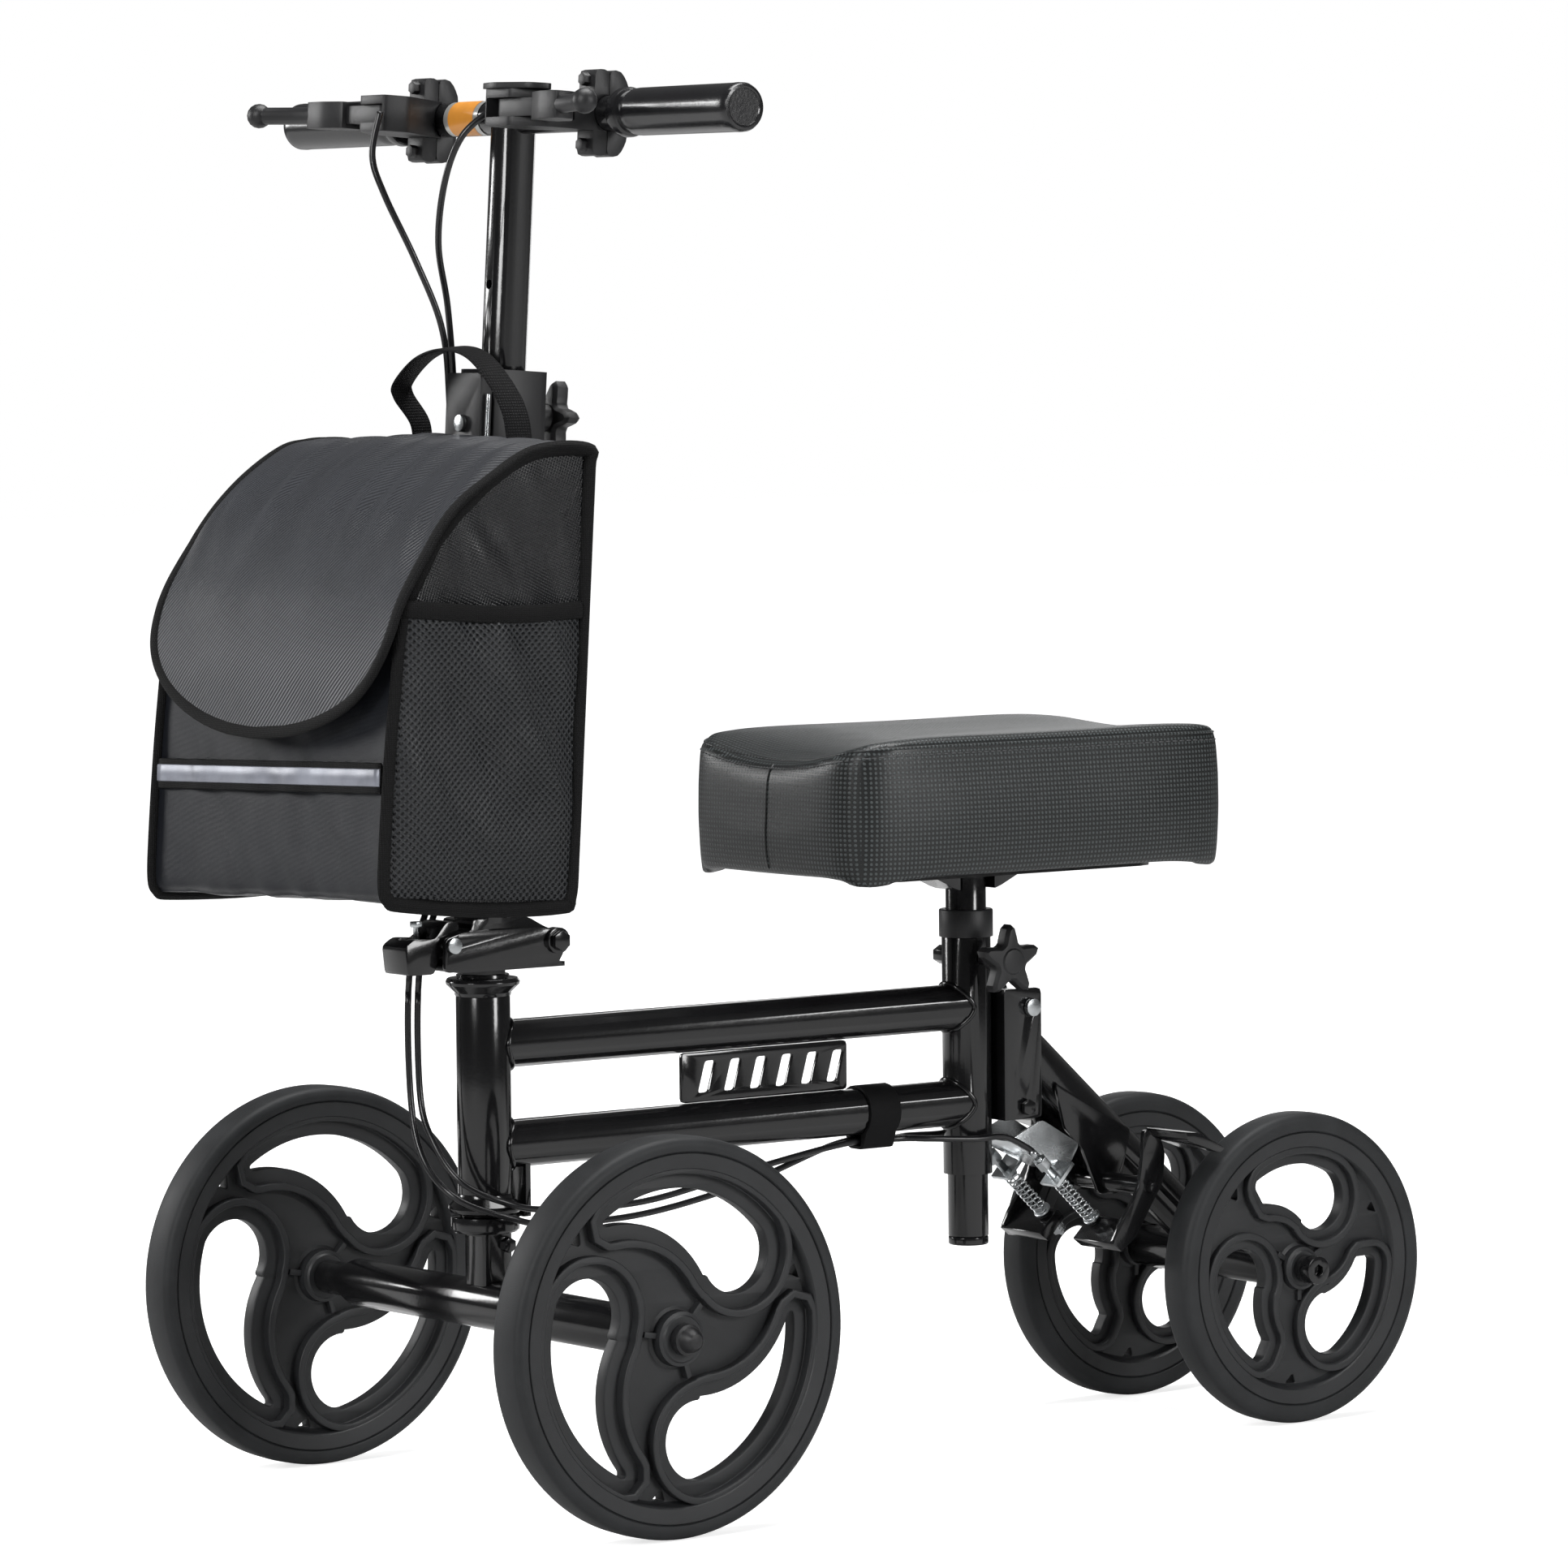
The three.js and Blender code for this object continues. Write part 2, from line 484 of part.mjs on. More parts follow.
scooter.add(named('latch_pin', 'zinc', crossPin(latchPivot,
  { radius: 3, reach: 22, sides: 12 }, { radius: 5.2, start: 20.3, end: 22.8, sides: 16 })));

// Latch lever in front of the lip of the yoke, handle towards the front, with a small screw in its slot.
const leverOutline = [[-66, 340], [-46, 340], [-42, 351], [-29, 351], [-29, 363], [-27, 367], [-27, 372.5],
  [-36, 372.5], [-45, 362], [-60, 363], [-68, 358]];
const leverSlot = box(at(-4.4, -62, 351), at(4.4, -40, 380));
scooter.add(named('latch_lever', 'steel', cut(plateX(leverOutline, -13, 13, 2.5),
  crossBore(latchPivot, 3.3, 12), leverSlot)));
const latchScrewY = -50.5;
const screwShank = rod(at(0, latchScrewY, 351.3), at(0, latchScrewY, 372), 2, 12);
const screwHead = rod(at(0, latchScrewY, 369.5), at(0, latchScrewY, 373), 4.4, 6);
scooter.add(named('latch_screw', 'zinc', join(screwShank, screwHead)));

// Yoke welded under the column tube.
const columnTurn = new THREE.Quaternion().setFromEuler(column.rotation);
const intoColumn = new THREE.Matrix4().compose(COLUMN_BASE, columnTurn, at(1, 1, 1)).invert();
const yokeOutline = [[-25.5, 345], [30, 345], [37, 349], [FOLD_PIVOT_Y + 8, 353], [FOLD_PIVOT_Y + 8, 361],
  [37, 366], [24, 373], [-19, 373], [-19, 366], [-25.5, 365]];
const yoke = plateX(yokeOutline, -CHEEK_IN + 0.4, CHEEK_IN - 0.4, 3).applyMatrix4(intoColumn);
const yokeBore = crossBore(foldPivot, 4.3).applyMatrix4(intoColumn);
const columnTube = ring(COLUMN_TUBE_RADIUS, STEM_RADIUS + GAP, 6, 342, 24);
column.add(named('column_tube', 'steel', cut(join(yoke, columnTube), yokeBore)));

// ---------- column sleeve, hanger and knob ----------
const SLEEVE_LOW = 303;
const SLEEVE_HIGH = 357;
const sleeveBody = plateZ([[-21, -21], [21, -21], [21, 22], [-21, 22]], SLEEVE_LOW, SLEEVE_HIGH, 7);
const COLUMN_TUBE_TOP = 342;
const COLUMN_KNOB_S = 329;
const sleeveBore = rod(at(0, 0, SLEEVE_LOW - 5), at(0, 0, COLUMN_TUBE_TOP + 0.4),
  COLUMN_TUBE_RADIUS + GAP, 24);
const stemBore = rod(at(0, 0, COLUMN_TUBE_TOP - 12), at(0, 0, SLEEVE_HIGH + 5), STEM_RADIUS + GAP, 24);
const knobBore = rod(at(0, 10, COLUMN_KNOB_S), at(0, 40, COLUMN_KNOB_S), 4.2, 12);
column.add(named('column_sleeve', 'plastic', cut(sleeveBody, sleeveBore, stemBore, knobBore)));
const columnKnob = named('column_knob', 'plastic', starKnob(0.5));
columnKnob.rotation.x = Math.PI / 2;
columnKnob.position.set(0, 45.3, COLUMN_KNOB_S);
column.add(columnKnob);

const RIVET_S = 322;
const hangerFace = plateY([[-19, 309], [19, 309], [19, 354], [-19, 354]], -30, -27.5, 4);
const hangerFlange = (x) => box(at(x - 1.2, -29, 312), at(x + 1.2, -21.3, 354));
const rivetBore = rod(at(0, -35, RIVET_S), at(0, -22, RIVET_S), 3.3, 12);
const rivetShank = rod(at(0, -32.5, RIVET_S), at(0, -21.4, RIVET_S), 3, 12);
const rivetHead = rod(at(0, -33, RIVET_S), at(0, -30.3, RIVET_S), 5.5, 16);
column.add(named('bag_hanger', 'steel',
  cut(join(hangerFace, hangerFlange(17.8), hangerFlange(-17.8)), rivetBore)));
column.add(named('hanger_rivet', 'zinc', join(rivetShank, rivetHead)));

// ---------- stem and handlebar ----------
const STEM_BOTTOM = 150;
const stemTube = ring(STEM_RADIUS, STEM_RADIUS - 2, STEM_BOTTOM, BAR_HEIGHT, 20);
const stemPlug = rod(at(0, 0, STEM_BOTTOM), at(0, 0, STEM_BOTTOM + 6), STEM_RADIUS - 1, 20);
const bar = rod(at(-BAR_HALF + 4, 0, BAR_HEIGHT), at(BAR_HALF - 4, 0, BAR_HEIGHT), BAR_RADIUS, 20);
const heightHoles = [];
for (let s = 215; s < 430; s += 49) {
  heightHoles.push(rod(at(0, -20, s), at(0, 20, s), 3.2, 8));
}
column.add(named('stem', 'steel', cut(join(stemTube, stemPlug, bar), ...heightHoles)));

const GRIP_START = 120;
const gripBore = BAR_RADIUS + GAP;
const gripFloor = BAR_HALF - 3.7;
const gripProfile = [[gripBore, GRIP_START], [14, GRIP_START], [15.6, GRIP_START + 2], [15.6, GRIP_START + 7],
  [13, GRIP_START + 9], [13, GRIP_START + 12], [14.7, GRIP_START + 15], [15, BAR_HALF - 3], [13.6, BAR_HALF],
  [0, BAR_HALF], [0, gripFloor], [gripBore, gripFloor], [gripBore, GRIP_START]];
for (const [side, s] of HANDS) {
  const grip = turned(gripProfile, 20).rotateY(s * Math.PI / 2).translate(0, 0, BAR_HEIGHT);
  column.add(named(`grip_${side}`, 'grip', grip));
}

// Brake lever mounts: the front half carries the lever housing, the rear half is the clamp shell.
const clampLow = BAR_HEIGHT - CLAMP_REACH;
const clampHigh = BAR_HEIGHT + CLAMP_REACH;
const frontEarOutline = [[-11, clampLow], [-0.2, clampLow], [-0.2, clampHigh], [-11, clampHigh]];
const rearEarOutline = [[0.2, clampLow], [9, clampLow], [15, clampLow + 10], [15.5, clampHigh - 10],
  [9, clampHigh], [0.2, clampHigh]];
const housingOutline = [[104, -12], [100, -44], [84, -62], [56, -62], [54, -44], [72, -13], [80, -0.2],
  [104, -0.2]];
const slotOutline = [[60, -40], [58, -70], [110, -70], [110, -25], [88, -25]];
const tongueOutline = [[62, -55], [66, -58], [106, -58], [106, -38], [88, -38], [66, -44]];
const bladeOutline = [[105.2, -61], [105.2, -43], [122, -41], [140, -53], [140, -66], [122, -66]];
const barBore = rod(at(-130, 0, BAR_HEIGHT), at(130, 0, BAR_HEIGHT), BAR_RADIUS + GAP, 20);
// Plate of the given half height, centred on the bar and handed left or right.
const levelPlate = (s, outline, half, radius) => plateZ(handed(s, outline), BAR_HEIGHT - half,
  BAR_HEIGHT + half, radius);
for (const [side, s] of HANDS) {
  const earX = [s * 86, s * 103].sort((a, b) => a - b);
  const frontEars = plateX(frontEarOutline, ...earX, 4);
  const housing = levelPlate(s, housingOutline, 11.5, 3);
  const slot = levelPlate(s, slotOutline, 6);
  const leverPin = (radius) => rod(at(s * LEVER_PIVOT_X, LEVER_PIVOT_V, BAR_HEIGHT - 9),
    at(s * LEVER_PIVOT_X, LEVER_PIVOT_V, BAR_HEIGHT + 9), radius, 12);
  const bolts = [clampLow + 6.5, clampHigh - 6.5].map((height) => rod(at(s * 94.5, -15.5, height),
    at(s * 94.5, -8, height), 4.2, 6));
  const hollowed = cut(join(frontEars, housing), barBore, slot);
  column.add(named(`lever_housing_${side}`, 'plastic', join(hollowed, leverPin(LEVER_PIN_RADIUS), ...bolts)));
  column.add(named(`clamp_shell_${side}`, 'plastic', cut(plateX(rearEarOutline, ...earX, 4), barBore)));

  // Lever with a tongue in the slot, a root block, a tapering blade and a ball end.
  const tongue = levelPlate(s, tongueOutline, 5.6, 2);
  const blade = levelPlate(s, bladeOutline, 8.5, 3);
  const shaft = rod(at(s * 136, -59.5, BAR_HEIGHT), at(s * 178, -73, BAR_HEIGHT), 5.6, 12);
  const ball = new THREE.SphereGeometry(8, 12, 8).rotateX(Math.PI / 2).translate(s * 182, -74.5, BAR_HEIGHT);
  column.add(named(`brake_lever_${side}`, 'plastic',
    cut(join(tongue, blade, shaft, ball), leverPin(LEVER_PIN_RADIUS + GAP))));
}

// Parking tab that turns on top of the left housing.
const tabOutline = [[52, -62], [70, -66], [98, -58], [104, -46], [98, -40], [72, -44], [54, -48]];
column.add(named('parking_tab', 'plastic',
  plateZ(tabOutline, BAR_HEIGHT + 11.8, BAR_HEIGHT + 15.3, 4)));

// ---------- rear brake arms and springs ----------
const armOutline = [[496, 205], [509, 203], [514, 188], [512, 168], [502, 154], [488, 133], [476, 124],
  [468, 130], [474, 142], [488, 160], [492, 170], [495, 188]];
const shoeOutline = [[500, 206], [503, 200], [531, 190], [535, 193], [512, 205]];
const footOutline = [[468, 130], [476, 124], [490, 139.5], [484, 145]];
const SPRING_START = 24;
const SPRING_END = 56;
const SPRING_TURNS = 8;
const STEPS_PER_TURN = 6;

function returnSpring(x) {
  const coil = [];
  const steps = SPRING_TURNS * STEPS_PER_TURN;
  for (let i = 0; i <= steps; i += 1) {
    const angle = (i / STEPS_PER_TURN) * 2 * Math.PI;
    const centre = onSpringLine(SPRING_START + ((SPRING_END - SPRING_START) * i) / steps, x);
    const upward = at(0, -springAxis.z, springAxis.y).multiplyScalar(SPRING_RADIUS * Math.sin(angle));
    coil.push(centre.add(upward).add(at(SPRING_RADIUS * Math.cos(angle), 0, 0)));
  }
  return cord(coil, 0.8, 4, steps);
}

for (const [side, s] of HANDS) {
  const across = (outline, near, far, radius) => plateX(outline, ...[s * near, s * far].sort((a, b) => a - b),
    radius);
  const web = across(armOutline, 57, 60.5, 3);
  const shoe = across(shoeOutline, 57, 98, 1.5);
  const foot = across(footOutline, 18, 60.5, 1);
  const bore = crossRod(brakePivot, 3.8, s * 50, s * 70, 12);
  const clampNut = rod(onSpringLine(62.5, s * BRAKE_LINE_X), onSpringLine(74, s * BRAKE_LINE_X), 4.6, 6);
  scooter.add(named(`brake_arm_${side}`, 'steel', join(cut(join(web, shoe, foot), bore), clampNut)));
  scooter.add(named(`brake_spring_${side}`, 'zinc', returnSpring(s * BRAKE_LINE_X)));
}

// ---------- wheels ----------
// The same direction as angle, taken no higher than limit.
const clockwiseTo = (angle, limit) => (angle > limit ? angle - 2 * Math.PI : angle);

// Comma-shaped openings: a round end, the rim circle and the back of the next spoke.
function commaOpening(wheel, turn) {
  const points = [];
  const arc = (cx, cy, radius, from, to, count) => {
    for (let i = 0; i <= count; i += 1) {
      const angle = from + ((to - from) * i) / count;
      points.push(new THREE.Vector2(cx + radius * Math.cos(angle), cy + radius * Math.sin(angle)));
    }
  };
  const { rim, roundRadius, roundAngle, spokeRadius, spokeX, spokeY, tailAngle, tailRadius } = wheel;
  const roundX = (rim - roundRadius) * Math.cos(roundAngle);
  const roundY = (rim - roundRadius) * Math.sin(roundAngle);
  const tailX = (rim - tailRadius) * Math.cos(tailAngle);
  const tailY = (rim - tailRadius) * Math.sin(tailAngle);
  const toSpoke = Math.atan2(spokeY - roundY, spokeX - roundX);
  const spokeStart = toSpoke + Math.PI;
  const spokeEnd = Math.atan2(tailY - spokeY, tailX - spokeX);
  arc(0, 0, rim, tailAngle, roundAngle, 6);
  arc(roundX, roundY, roundRadius, roundAngle, clockwiseTo(toSpoke, roundAngle), 8);
  arc(spokeX, spokeY, spokeRadius, clockwiseTo(spokeStart, Math.PI), spokeEnd, 6);
  arc(tailX, tailY, tailRadius, tailAngle + Math.PI * 0.6, tailAngle + 0.25, 3);
  const hole = new THREE.Path();
  points.forEach((point, i) => {
    point.rotateAround(new THREE.Vector2(), turn);
    const draw = i === 0 ? 'moveTo' : 'lineTo';
    hole[draw](point.x, point.y);
  });
  hole.closePath();
  return hole;
}

function wheelGeometry(wheel) {
  const { radius, width, rim, hubRadius, bore, tread, webHalf } = wheel;
  const half = width / 2;
  const lip = rim + 3;
  const facets = 32;
  const outer = radius / Math.cos(Math.PI / facets); // one flat of the tread lies on the floor
  const tyre = turned([[lip, -webHalf], [tread, -half], [outer - 3, -half], [outer, -half + 3],
    [outer, half - 3], [outer - 3, half], [tread, half], [lip, webHalf], [lip, -webHalf]], facets)
    .rotateZ(Math.PI / facets);
  const disc = new THREE.Shape().absarc(0, 0, lip + 1.5, 0, 2 * Math.PI);
  for (let i = 0; i < 3; i += 1) {
    disc.holes.push(commaOpening(wheel, (i * 2 * Math.PI) / 3));
  }
  const web = new THREE.ExtrudeGeometry(disc, { depth: 2 * webHalf, bevelEnabled: false, curveSegments: 10 })
    .translate(0, 0, -webHalf);
  const hub = turned([[0, -half], [hubRadius, -half], [hubRadius, half], [0, half]], 16);
  const hubBore = turned([[0, -half - 5], [bore, -half - 5], [bore, half + 5], [0, half + 5]], 12);
  return cut(join(tyre, web, hub), hubBore)
    .applyMatrix4(new THREE.Matrix4().makeBasis(at(0, 1, 0), at(0, 0, 1), at(1, 0, 0)));
}

const frontWheel = wheelGeometry({
  radius: FRONT_WHEEL_RADIUS,
  width: FRONT_WHEEL_WIDTH,
  rim: 93,
  tread: 104,
  hubRadius: 17.3,
  bore: 6.3,
  webHalf: 5,
  roundRadius: 25,
  roundAngle: 0.794,
  spokeRadius: 71,
  spokeX: -39.3,
  spokeY: 2.7,
  tailAngle: 2.16,
  tailRadius: 2.5,
});
const rearWheel = wheelGeometry({
  radius: REAR_WHEEL_RADIUS,
  width: REAR_WHEEL_WIDTH,
  rim: 71,
  tread: 84,
  hubRadius: 15,
  bore: 5.3,
  webHalf: 5,
  roundRadius: 21.5,
  roundAngle: 1.15,
  spokeRadius: 42.5,
  spokeX: -26,
  spokeY: 2.5,
  tailAngle: 2.05,
  tailRadius: 6,
});
for (const [side, s] of HANDS) {
  const front = named(`front_wheel_${side}`, 'wheel', frontWheel.clone());
  front.position.set(s * (FRONT_WHEEL_INNER + FRONT_WHEEL_WIDTH / 2), 0, FRONT_WHEEL_RADIUS);
  scooter.add(front);
  const rear = named(`rear_wheel_${side}`, 'wheel', rearWheel.clone());
  rear.position.set(s * (REAR_WHEEL_INNER + REAR_WHEEL_WIDTH / 2), ...rearAxle);
  scooter.add(rear);
}

// ---------- bag, in the frame of the column ----------
const bagProfile = [[BAG_BACK, BAG_BOTTOM], [BAG_BACK, BAG_TOP], [-48, BAG_TOP], [-75, 299], [-108, 275],
  [-133, 247], [-150, 216], [-158, 192], [BAG_FRONT, 60], [BAG_FRONT, BAG_BOTTOM + 5],
  [BAG_FRONT + 6, BAG_BOTTOM]];
const bagOuter = plateX(bagProfile, -BAG_HALF_WIDTH, BAG_HALF_WIDTH);
// The hollow is open at the top and above the front panel, under the flap.
const lining = BAG_WALL;
const mouthFront = -190;
const mouthTop = 330;
const bagInner = plateX([[BAG_BACK - lining, BAG_BOTTOM + lining], [BAG_BACK - lining, BAG_TOP - lining],
  [-42, BAG_TOP - lining], [-42, mouthTop], [mouthFront, mouthTop], [mouthFront, 196], [-155, 196],
  [BAG_FRONT + lining, 60], [BAG_FRONT + lining, BAG_BOTTOM + lining]],
-BAG_HALF_WIDTH + lining, BAG_HALF_WIDTH - lining);
column.add(named('bag_body', 'fabric', cut(bagOuter, bagInner)));

// Flap: follows the curved top and hangs over the front in a rounded tongue.
const flapCurve = [[-46, 308.5], [-76, 302], [-110, 277.5], [-135.5, 249], [-152.5, 217], [-160.5, 192],
  [-168, 160], [-169, 120]];
const flapThickness = 3;
const flapOffset = flapCurve.map(([v, s], i) => {
  const before = flapCurve[Math.max(0, i - 1)];
  const after = flapCurve[Math.min(flapCurve.length - 1, i + 1)];
  const run = new THREE.Vector2(after[0] - before[0], after[1] - before[1]).normalize();
  return [v + run.y * flapThickness, s - run.x * flapThickness];
});
const flapSheet = plateX([...flapCurve, ...flapOffset.reverse()], -132, 132);
const flapTongue = plateY([[-140, 340], [-140, 172], [-118, 142], [-70, 123], [0, 117], [70, 123], [118, 142],
  [140, 172], [140, 340]], -200, -30, 8);
column.add(named('bag_flap', 'fabric', shell(solid(flapSheet).intersect(solid(flapTongue)))));

const wirePoints = [at(21.5, -26, 307.5), at(21.5, -26, 325), at(21.7, -26, 341)];
for (const [side, s] of HANDS) {
  const hook = cord(wirePoints.map((point) => at(s * point.x, point.y, point.z)), 1.6, 8, 6);
  column.add(named(`bag_wire_${side}`, 'zinc', hook));
}

const handleCurve = new THREE.CatmullRomCurve3([at(-47, -35, 308), at(-50, -35.5, 322), at(-54, -43, 342),
  at(-30, -42, 366), at(8, -40, 372), at(38, -38, 350), at(48, -35.2, 322), at(50, -35, 308)],
false, 'centripetal');
const handleSection = roundedShape([[-1.2, -9], [1.2, -9], [1.2, 9], [-1.2, 9]], 0.01);
column.add(named('bag_handle', 'webbing', new THREE.ExtrudeGeometry(handleSection,
  { steps: 16, bevelEnabled: false, curveSegments: 1, extrudePath: handleCurve })));

// ---------- brake cables ----------
const toScooter = (x, v, s) => at(x, v, s).applyQuaternion(columnTurn).add(COLUMN_BASE);
const fromLever = {
  left: [toScooter(52, -53, BAR_HEIGHT), toScooter(42, -68, 500), toScooter(28, -70, 472),
    toScooter(6, -58, 434), toScooter(-16, -34, 396), toScooter(-28, -19, 350)],
  right: [toScooter(-54, -66, BAR_HEIGHT), toScooter(-55, -70, 490), toScooter(-48, -64, 465),
    toScooter(-37, -46, 425), toScooter(-33, -27, 385), toScooter(-33, -19, 345)],
};
HANDS.forEach(([side, s], i) => {
  const spread = i * 5;
  const behindBag = [280, 120, 30].map((height) => toScooter(-27 - spread, -13 - i * 3, height));
  const aroundHead = [at(-27 - spread, -30 - i * 4, 340), at(-24 - spread, -33 - i * 4, 262),
    at(-7 - spread, -34 - i * 5, 230 - i * 10), at(16, -28 - i * 5, 206 - i * 9),
    at(29 + i * 2, -4, 193 - i * 9)];
  const underTube = [at(27 + i * 3, 30, 186 - i * 9), at(20, 110, 184 - i * 8), at(10, 200, 196 - i * 8),
    at(s * 3.1, STRAP_START - 12, 206.6), at(s * 3.1, STRAP_END + 8, 206.6), at(s * 13, 350, 206)];
  const besideSeatTube = [at(s * 21.5, 383, 204), at(s * 23, 405, 204), onSpringLine(-14, s * 25.5),
    onSpringLine(-4.8, s * BRAKE_LINE_X)];
  const route = [...fromLever[side], ...behindBag, ...aroundHead, ...underTube, ...besideSeatTube];
  scooter.add(named(`brake_cable_${side}`, 'cable', cord(route, CABLE_RADIUS, 8, 64)));
});

const group = new THREE.Group();
group.name = 'knee_scooter';
group.add(scooter);
export default group;
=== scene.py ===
"""Knee scooter: soft goods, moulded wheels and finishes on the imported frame. Metres, +Z up."""
import math

import bpy
from mathutils import Matrix, Vector, noise
from mathutils.bvhtree import BVHTree


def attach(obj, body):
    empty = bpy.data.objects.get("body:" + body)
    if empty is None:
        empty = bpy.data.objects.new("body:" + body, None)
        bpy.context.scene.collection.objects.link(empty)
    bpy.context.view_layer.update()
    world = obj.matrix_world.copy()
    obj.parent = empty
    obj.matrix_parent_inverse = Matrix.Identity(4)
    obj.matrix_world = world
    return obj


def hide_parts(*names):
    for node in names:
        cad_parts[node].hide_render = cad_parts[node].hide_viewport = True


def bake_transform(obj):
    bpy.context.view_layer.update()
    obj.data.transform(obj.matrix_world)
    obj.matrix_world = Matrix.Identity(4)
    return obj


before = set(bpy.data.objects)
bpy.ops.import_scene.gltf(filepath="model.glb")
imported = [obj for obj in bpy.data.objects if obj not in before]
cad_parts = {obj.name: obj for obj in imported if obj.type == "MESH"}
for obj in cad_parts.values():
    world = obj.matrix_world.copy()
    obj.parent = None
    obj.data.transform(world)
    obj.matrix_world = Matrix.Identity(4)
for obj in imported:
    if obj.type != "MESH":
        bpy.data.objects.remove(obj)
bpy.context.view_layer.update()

# ---------- main dimensions, in millimetres as on the drawing ----------
MM = 0.001
FRONT_AXLE_Y = -272.2  # the drawing counts y from the front axle
FRONT_TRACK = 198.5  # middle of the scooter to the middle of a wheel
REAR_TRACK = 86.5
REAR_AXLE_Y = 604
COLUMN_BASE = Vector((0, -1.5, 364))
COLUMN_LEAN = 0.0644
BAR_HEIGHT = 518
HEAD_RADIUS = 17.4
SEAT_Y = 392.5
SEAT_RADIUS = 16.5
TUBE_RADIUS = 15.5
TUBE_HEIGHTS = (291.0, 226.7)
BAR_RADIUS = 11.1
PAD_MIDDLE = Vector((0, 388, 0))
PAD_HALF_WIDTH = 100
PAD_HALF_LENGTH = 161
PAD_SQUARENESS = 8  # power of the outline's rounded rectangle
PAD_BOTTOM = 388
PAD_TOP = 479
TROUGH_FOOT = 440  # the sides below this height don't follow the trough of the top
BAG_HALF_WIDTH = 130
FLAP_HALF_WIDTH = 133
FLAP_THICKNESS = 2.2
CABLE_RADIUS = 2.1
CABLE_GAP = 5  # between the two cables where they run side by side
SPRING_RADIUS = 4.6
SEAM_RADIUS = 0.9
BRAKE_LINE_X = 26.5


def at(x, y, z):
    """Point in the row frame from drawing millimetres."""
    return Vector((x, y + FRONT_AXLE_Y, z)) * MM


def on_column(x, v, s):
    """Point given along the leaning column: x across, v backwards, s up the column."""
    turn = Matrix.Rotation(-COLUMN_LEAN, 3, "X")
    point = turn @ Vector((x, v, s)) + COLUMN_BASE
    return at(*point)


def column_offset(x, v, s):
    """Step of x across, v backwards and s up the column, in the row frame."""
    return on_column(x, v, s) - on_column(0, 0, 0)


UP_COLUMN = column_offset(0, 0, 1).normalized()
SIDES = (("left", 1), ("right", -1))


def unit(value):
    """The value kept between 0 and 1."""
    return max(0.0, min(1.0, value))


# ---------- materials ----------
def new_material(name):
    material = bpy.data.materials.new(name)
    material.use_nodes = True
    tree = material.node_tree
    return material, tree, tree.nodes["Principled BSDF"]


def node(tree, kind, **settings):
    made = tree.nodes.new(kind)
    for key, value in settings.items():
        if hasattr(made, key):
            setattr(made, key, value)
        else:
            made.inputs[key.replace("_", " ")].default_value = value
    return made


def ramp_between(tree, source, low, high, start=0.35, end=0.65):
    """Colour ramp from one colour to another, driven by a 0 to 1 value."""
    ramp = node(tree, "ShaderNodeValToRGB")
    ramp.color_ramp.elements[0].position = start
    ramp.color_ramp.elements[0].color = (*low, 1)
    ramp.color_ramp.elements[1].position = end
    ramp.color_ramp.elements[1].color = (*high, 1)
    tree.links.new(source, ramp.inputs[0])
    return ramp.outputs[0]


def spread(tree, source, low, high):
    """Stretches a 0 to 1 value to the range low..high."""
    stretch = node(tree, "ShaderNodeMapRange", To_Min=low, To_Max=high)
    tree.links.new(source, stretch.inputs["Value"])
    return stretch.outputs["Result"]


def scaled(colour, factor):
    return tuple(min(1.0, channel * factor) for channel in colour)


def set_gloss(shader, metallic=0.0, specular=0.5, coat=0.0, coat_roughness=0.08, sheen=0.0):
    shader.inputs["Metallic"].default_value = metallic
    shader.inputs["Specular IOR Level"].default_value = specular
    shader.inputs["Coat Weight"].default_value = coat
    shader.inputs["Coat Roughness"].default_value = coat_roughness
    shader.inputs["Sheen Weight"].default_value = sheen


def hard_surface(name, colour, roughness, grain, grain_height, mottle=0.12, **gloss):
    """Paint, metal or moulded plastic: cloudy colour, uneven gloss and a fine grain."""
    material, tree, shader = new_material(name)
    place = node(tree, "ShaderNodeTexCoord").outputs["Object"]
    cloud = node(tree, "ShaderNodeTexNoise", Scale=38.0, Detail=5.0)
    fine = node(tree, "ShaderNodeTexNoise", Scale=grain, Detail=3.0)
    for texture in (cloud, fine):
        tree.links.new(place, texture.inputs["Vector"])
    low, high = scaled(colour, 1 - mottle), scaled(colour, 1 + mottle)
    tint = ramp_between(tree, cloud.outputs["Fac"], low, high)
    tree.links.new(tint, shader.inputs["Base Color"])
    gloss_range = spread(tree, cloud.outputs["Fac"], roughness * 0.82, roughness * 1.2)
    tree.links.new(gloss_range, shader.inputs["Roughness"])
    bump = node(tree, "ShaderNodeBump", Strength=1.0, Distance=grain_height)
    tree.links.new(fine.outputs["Fac"], bump.inputs["Height"])
    tree.links.new(bump.outputs["Normal"], shader.inputs["Normal"])
    set_gloss(shader, **gloss)
    return material


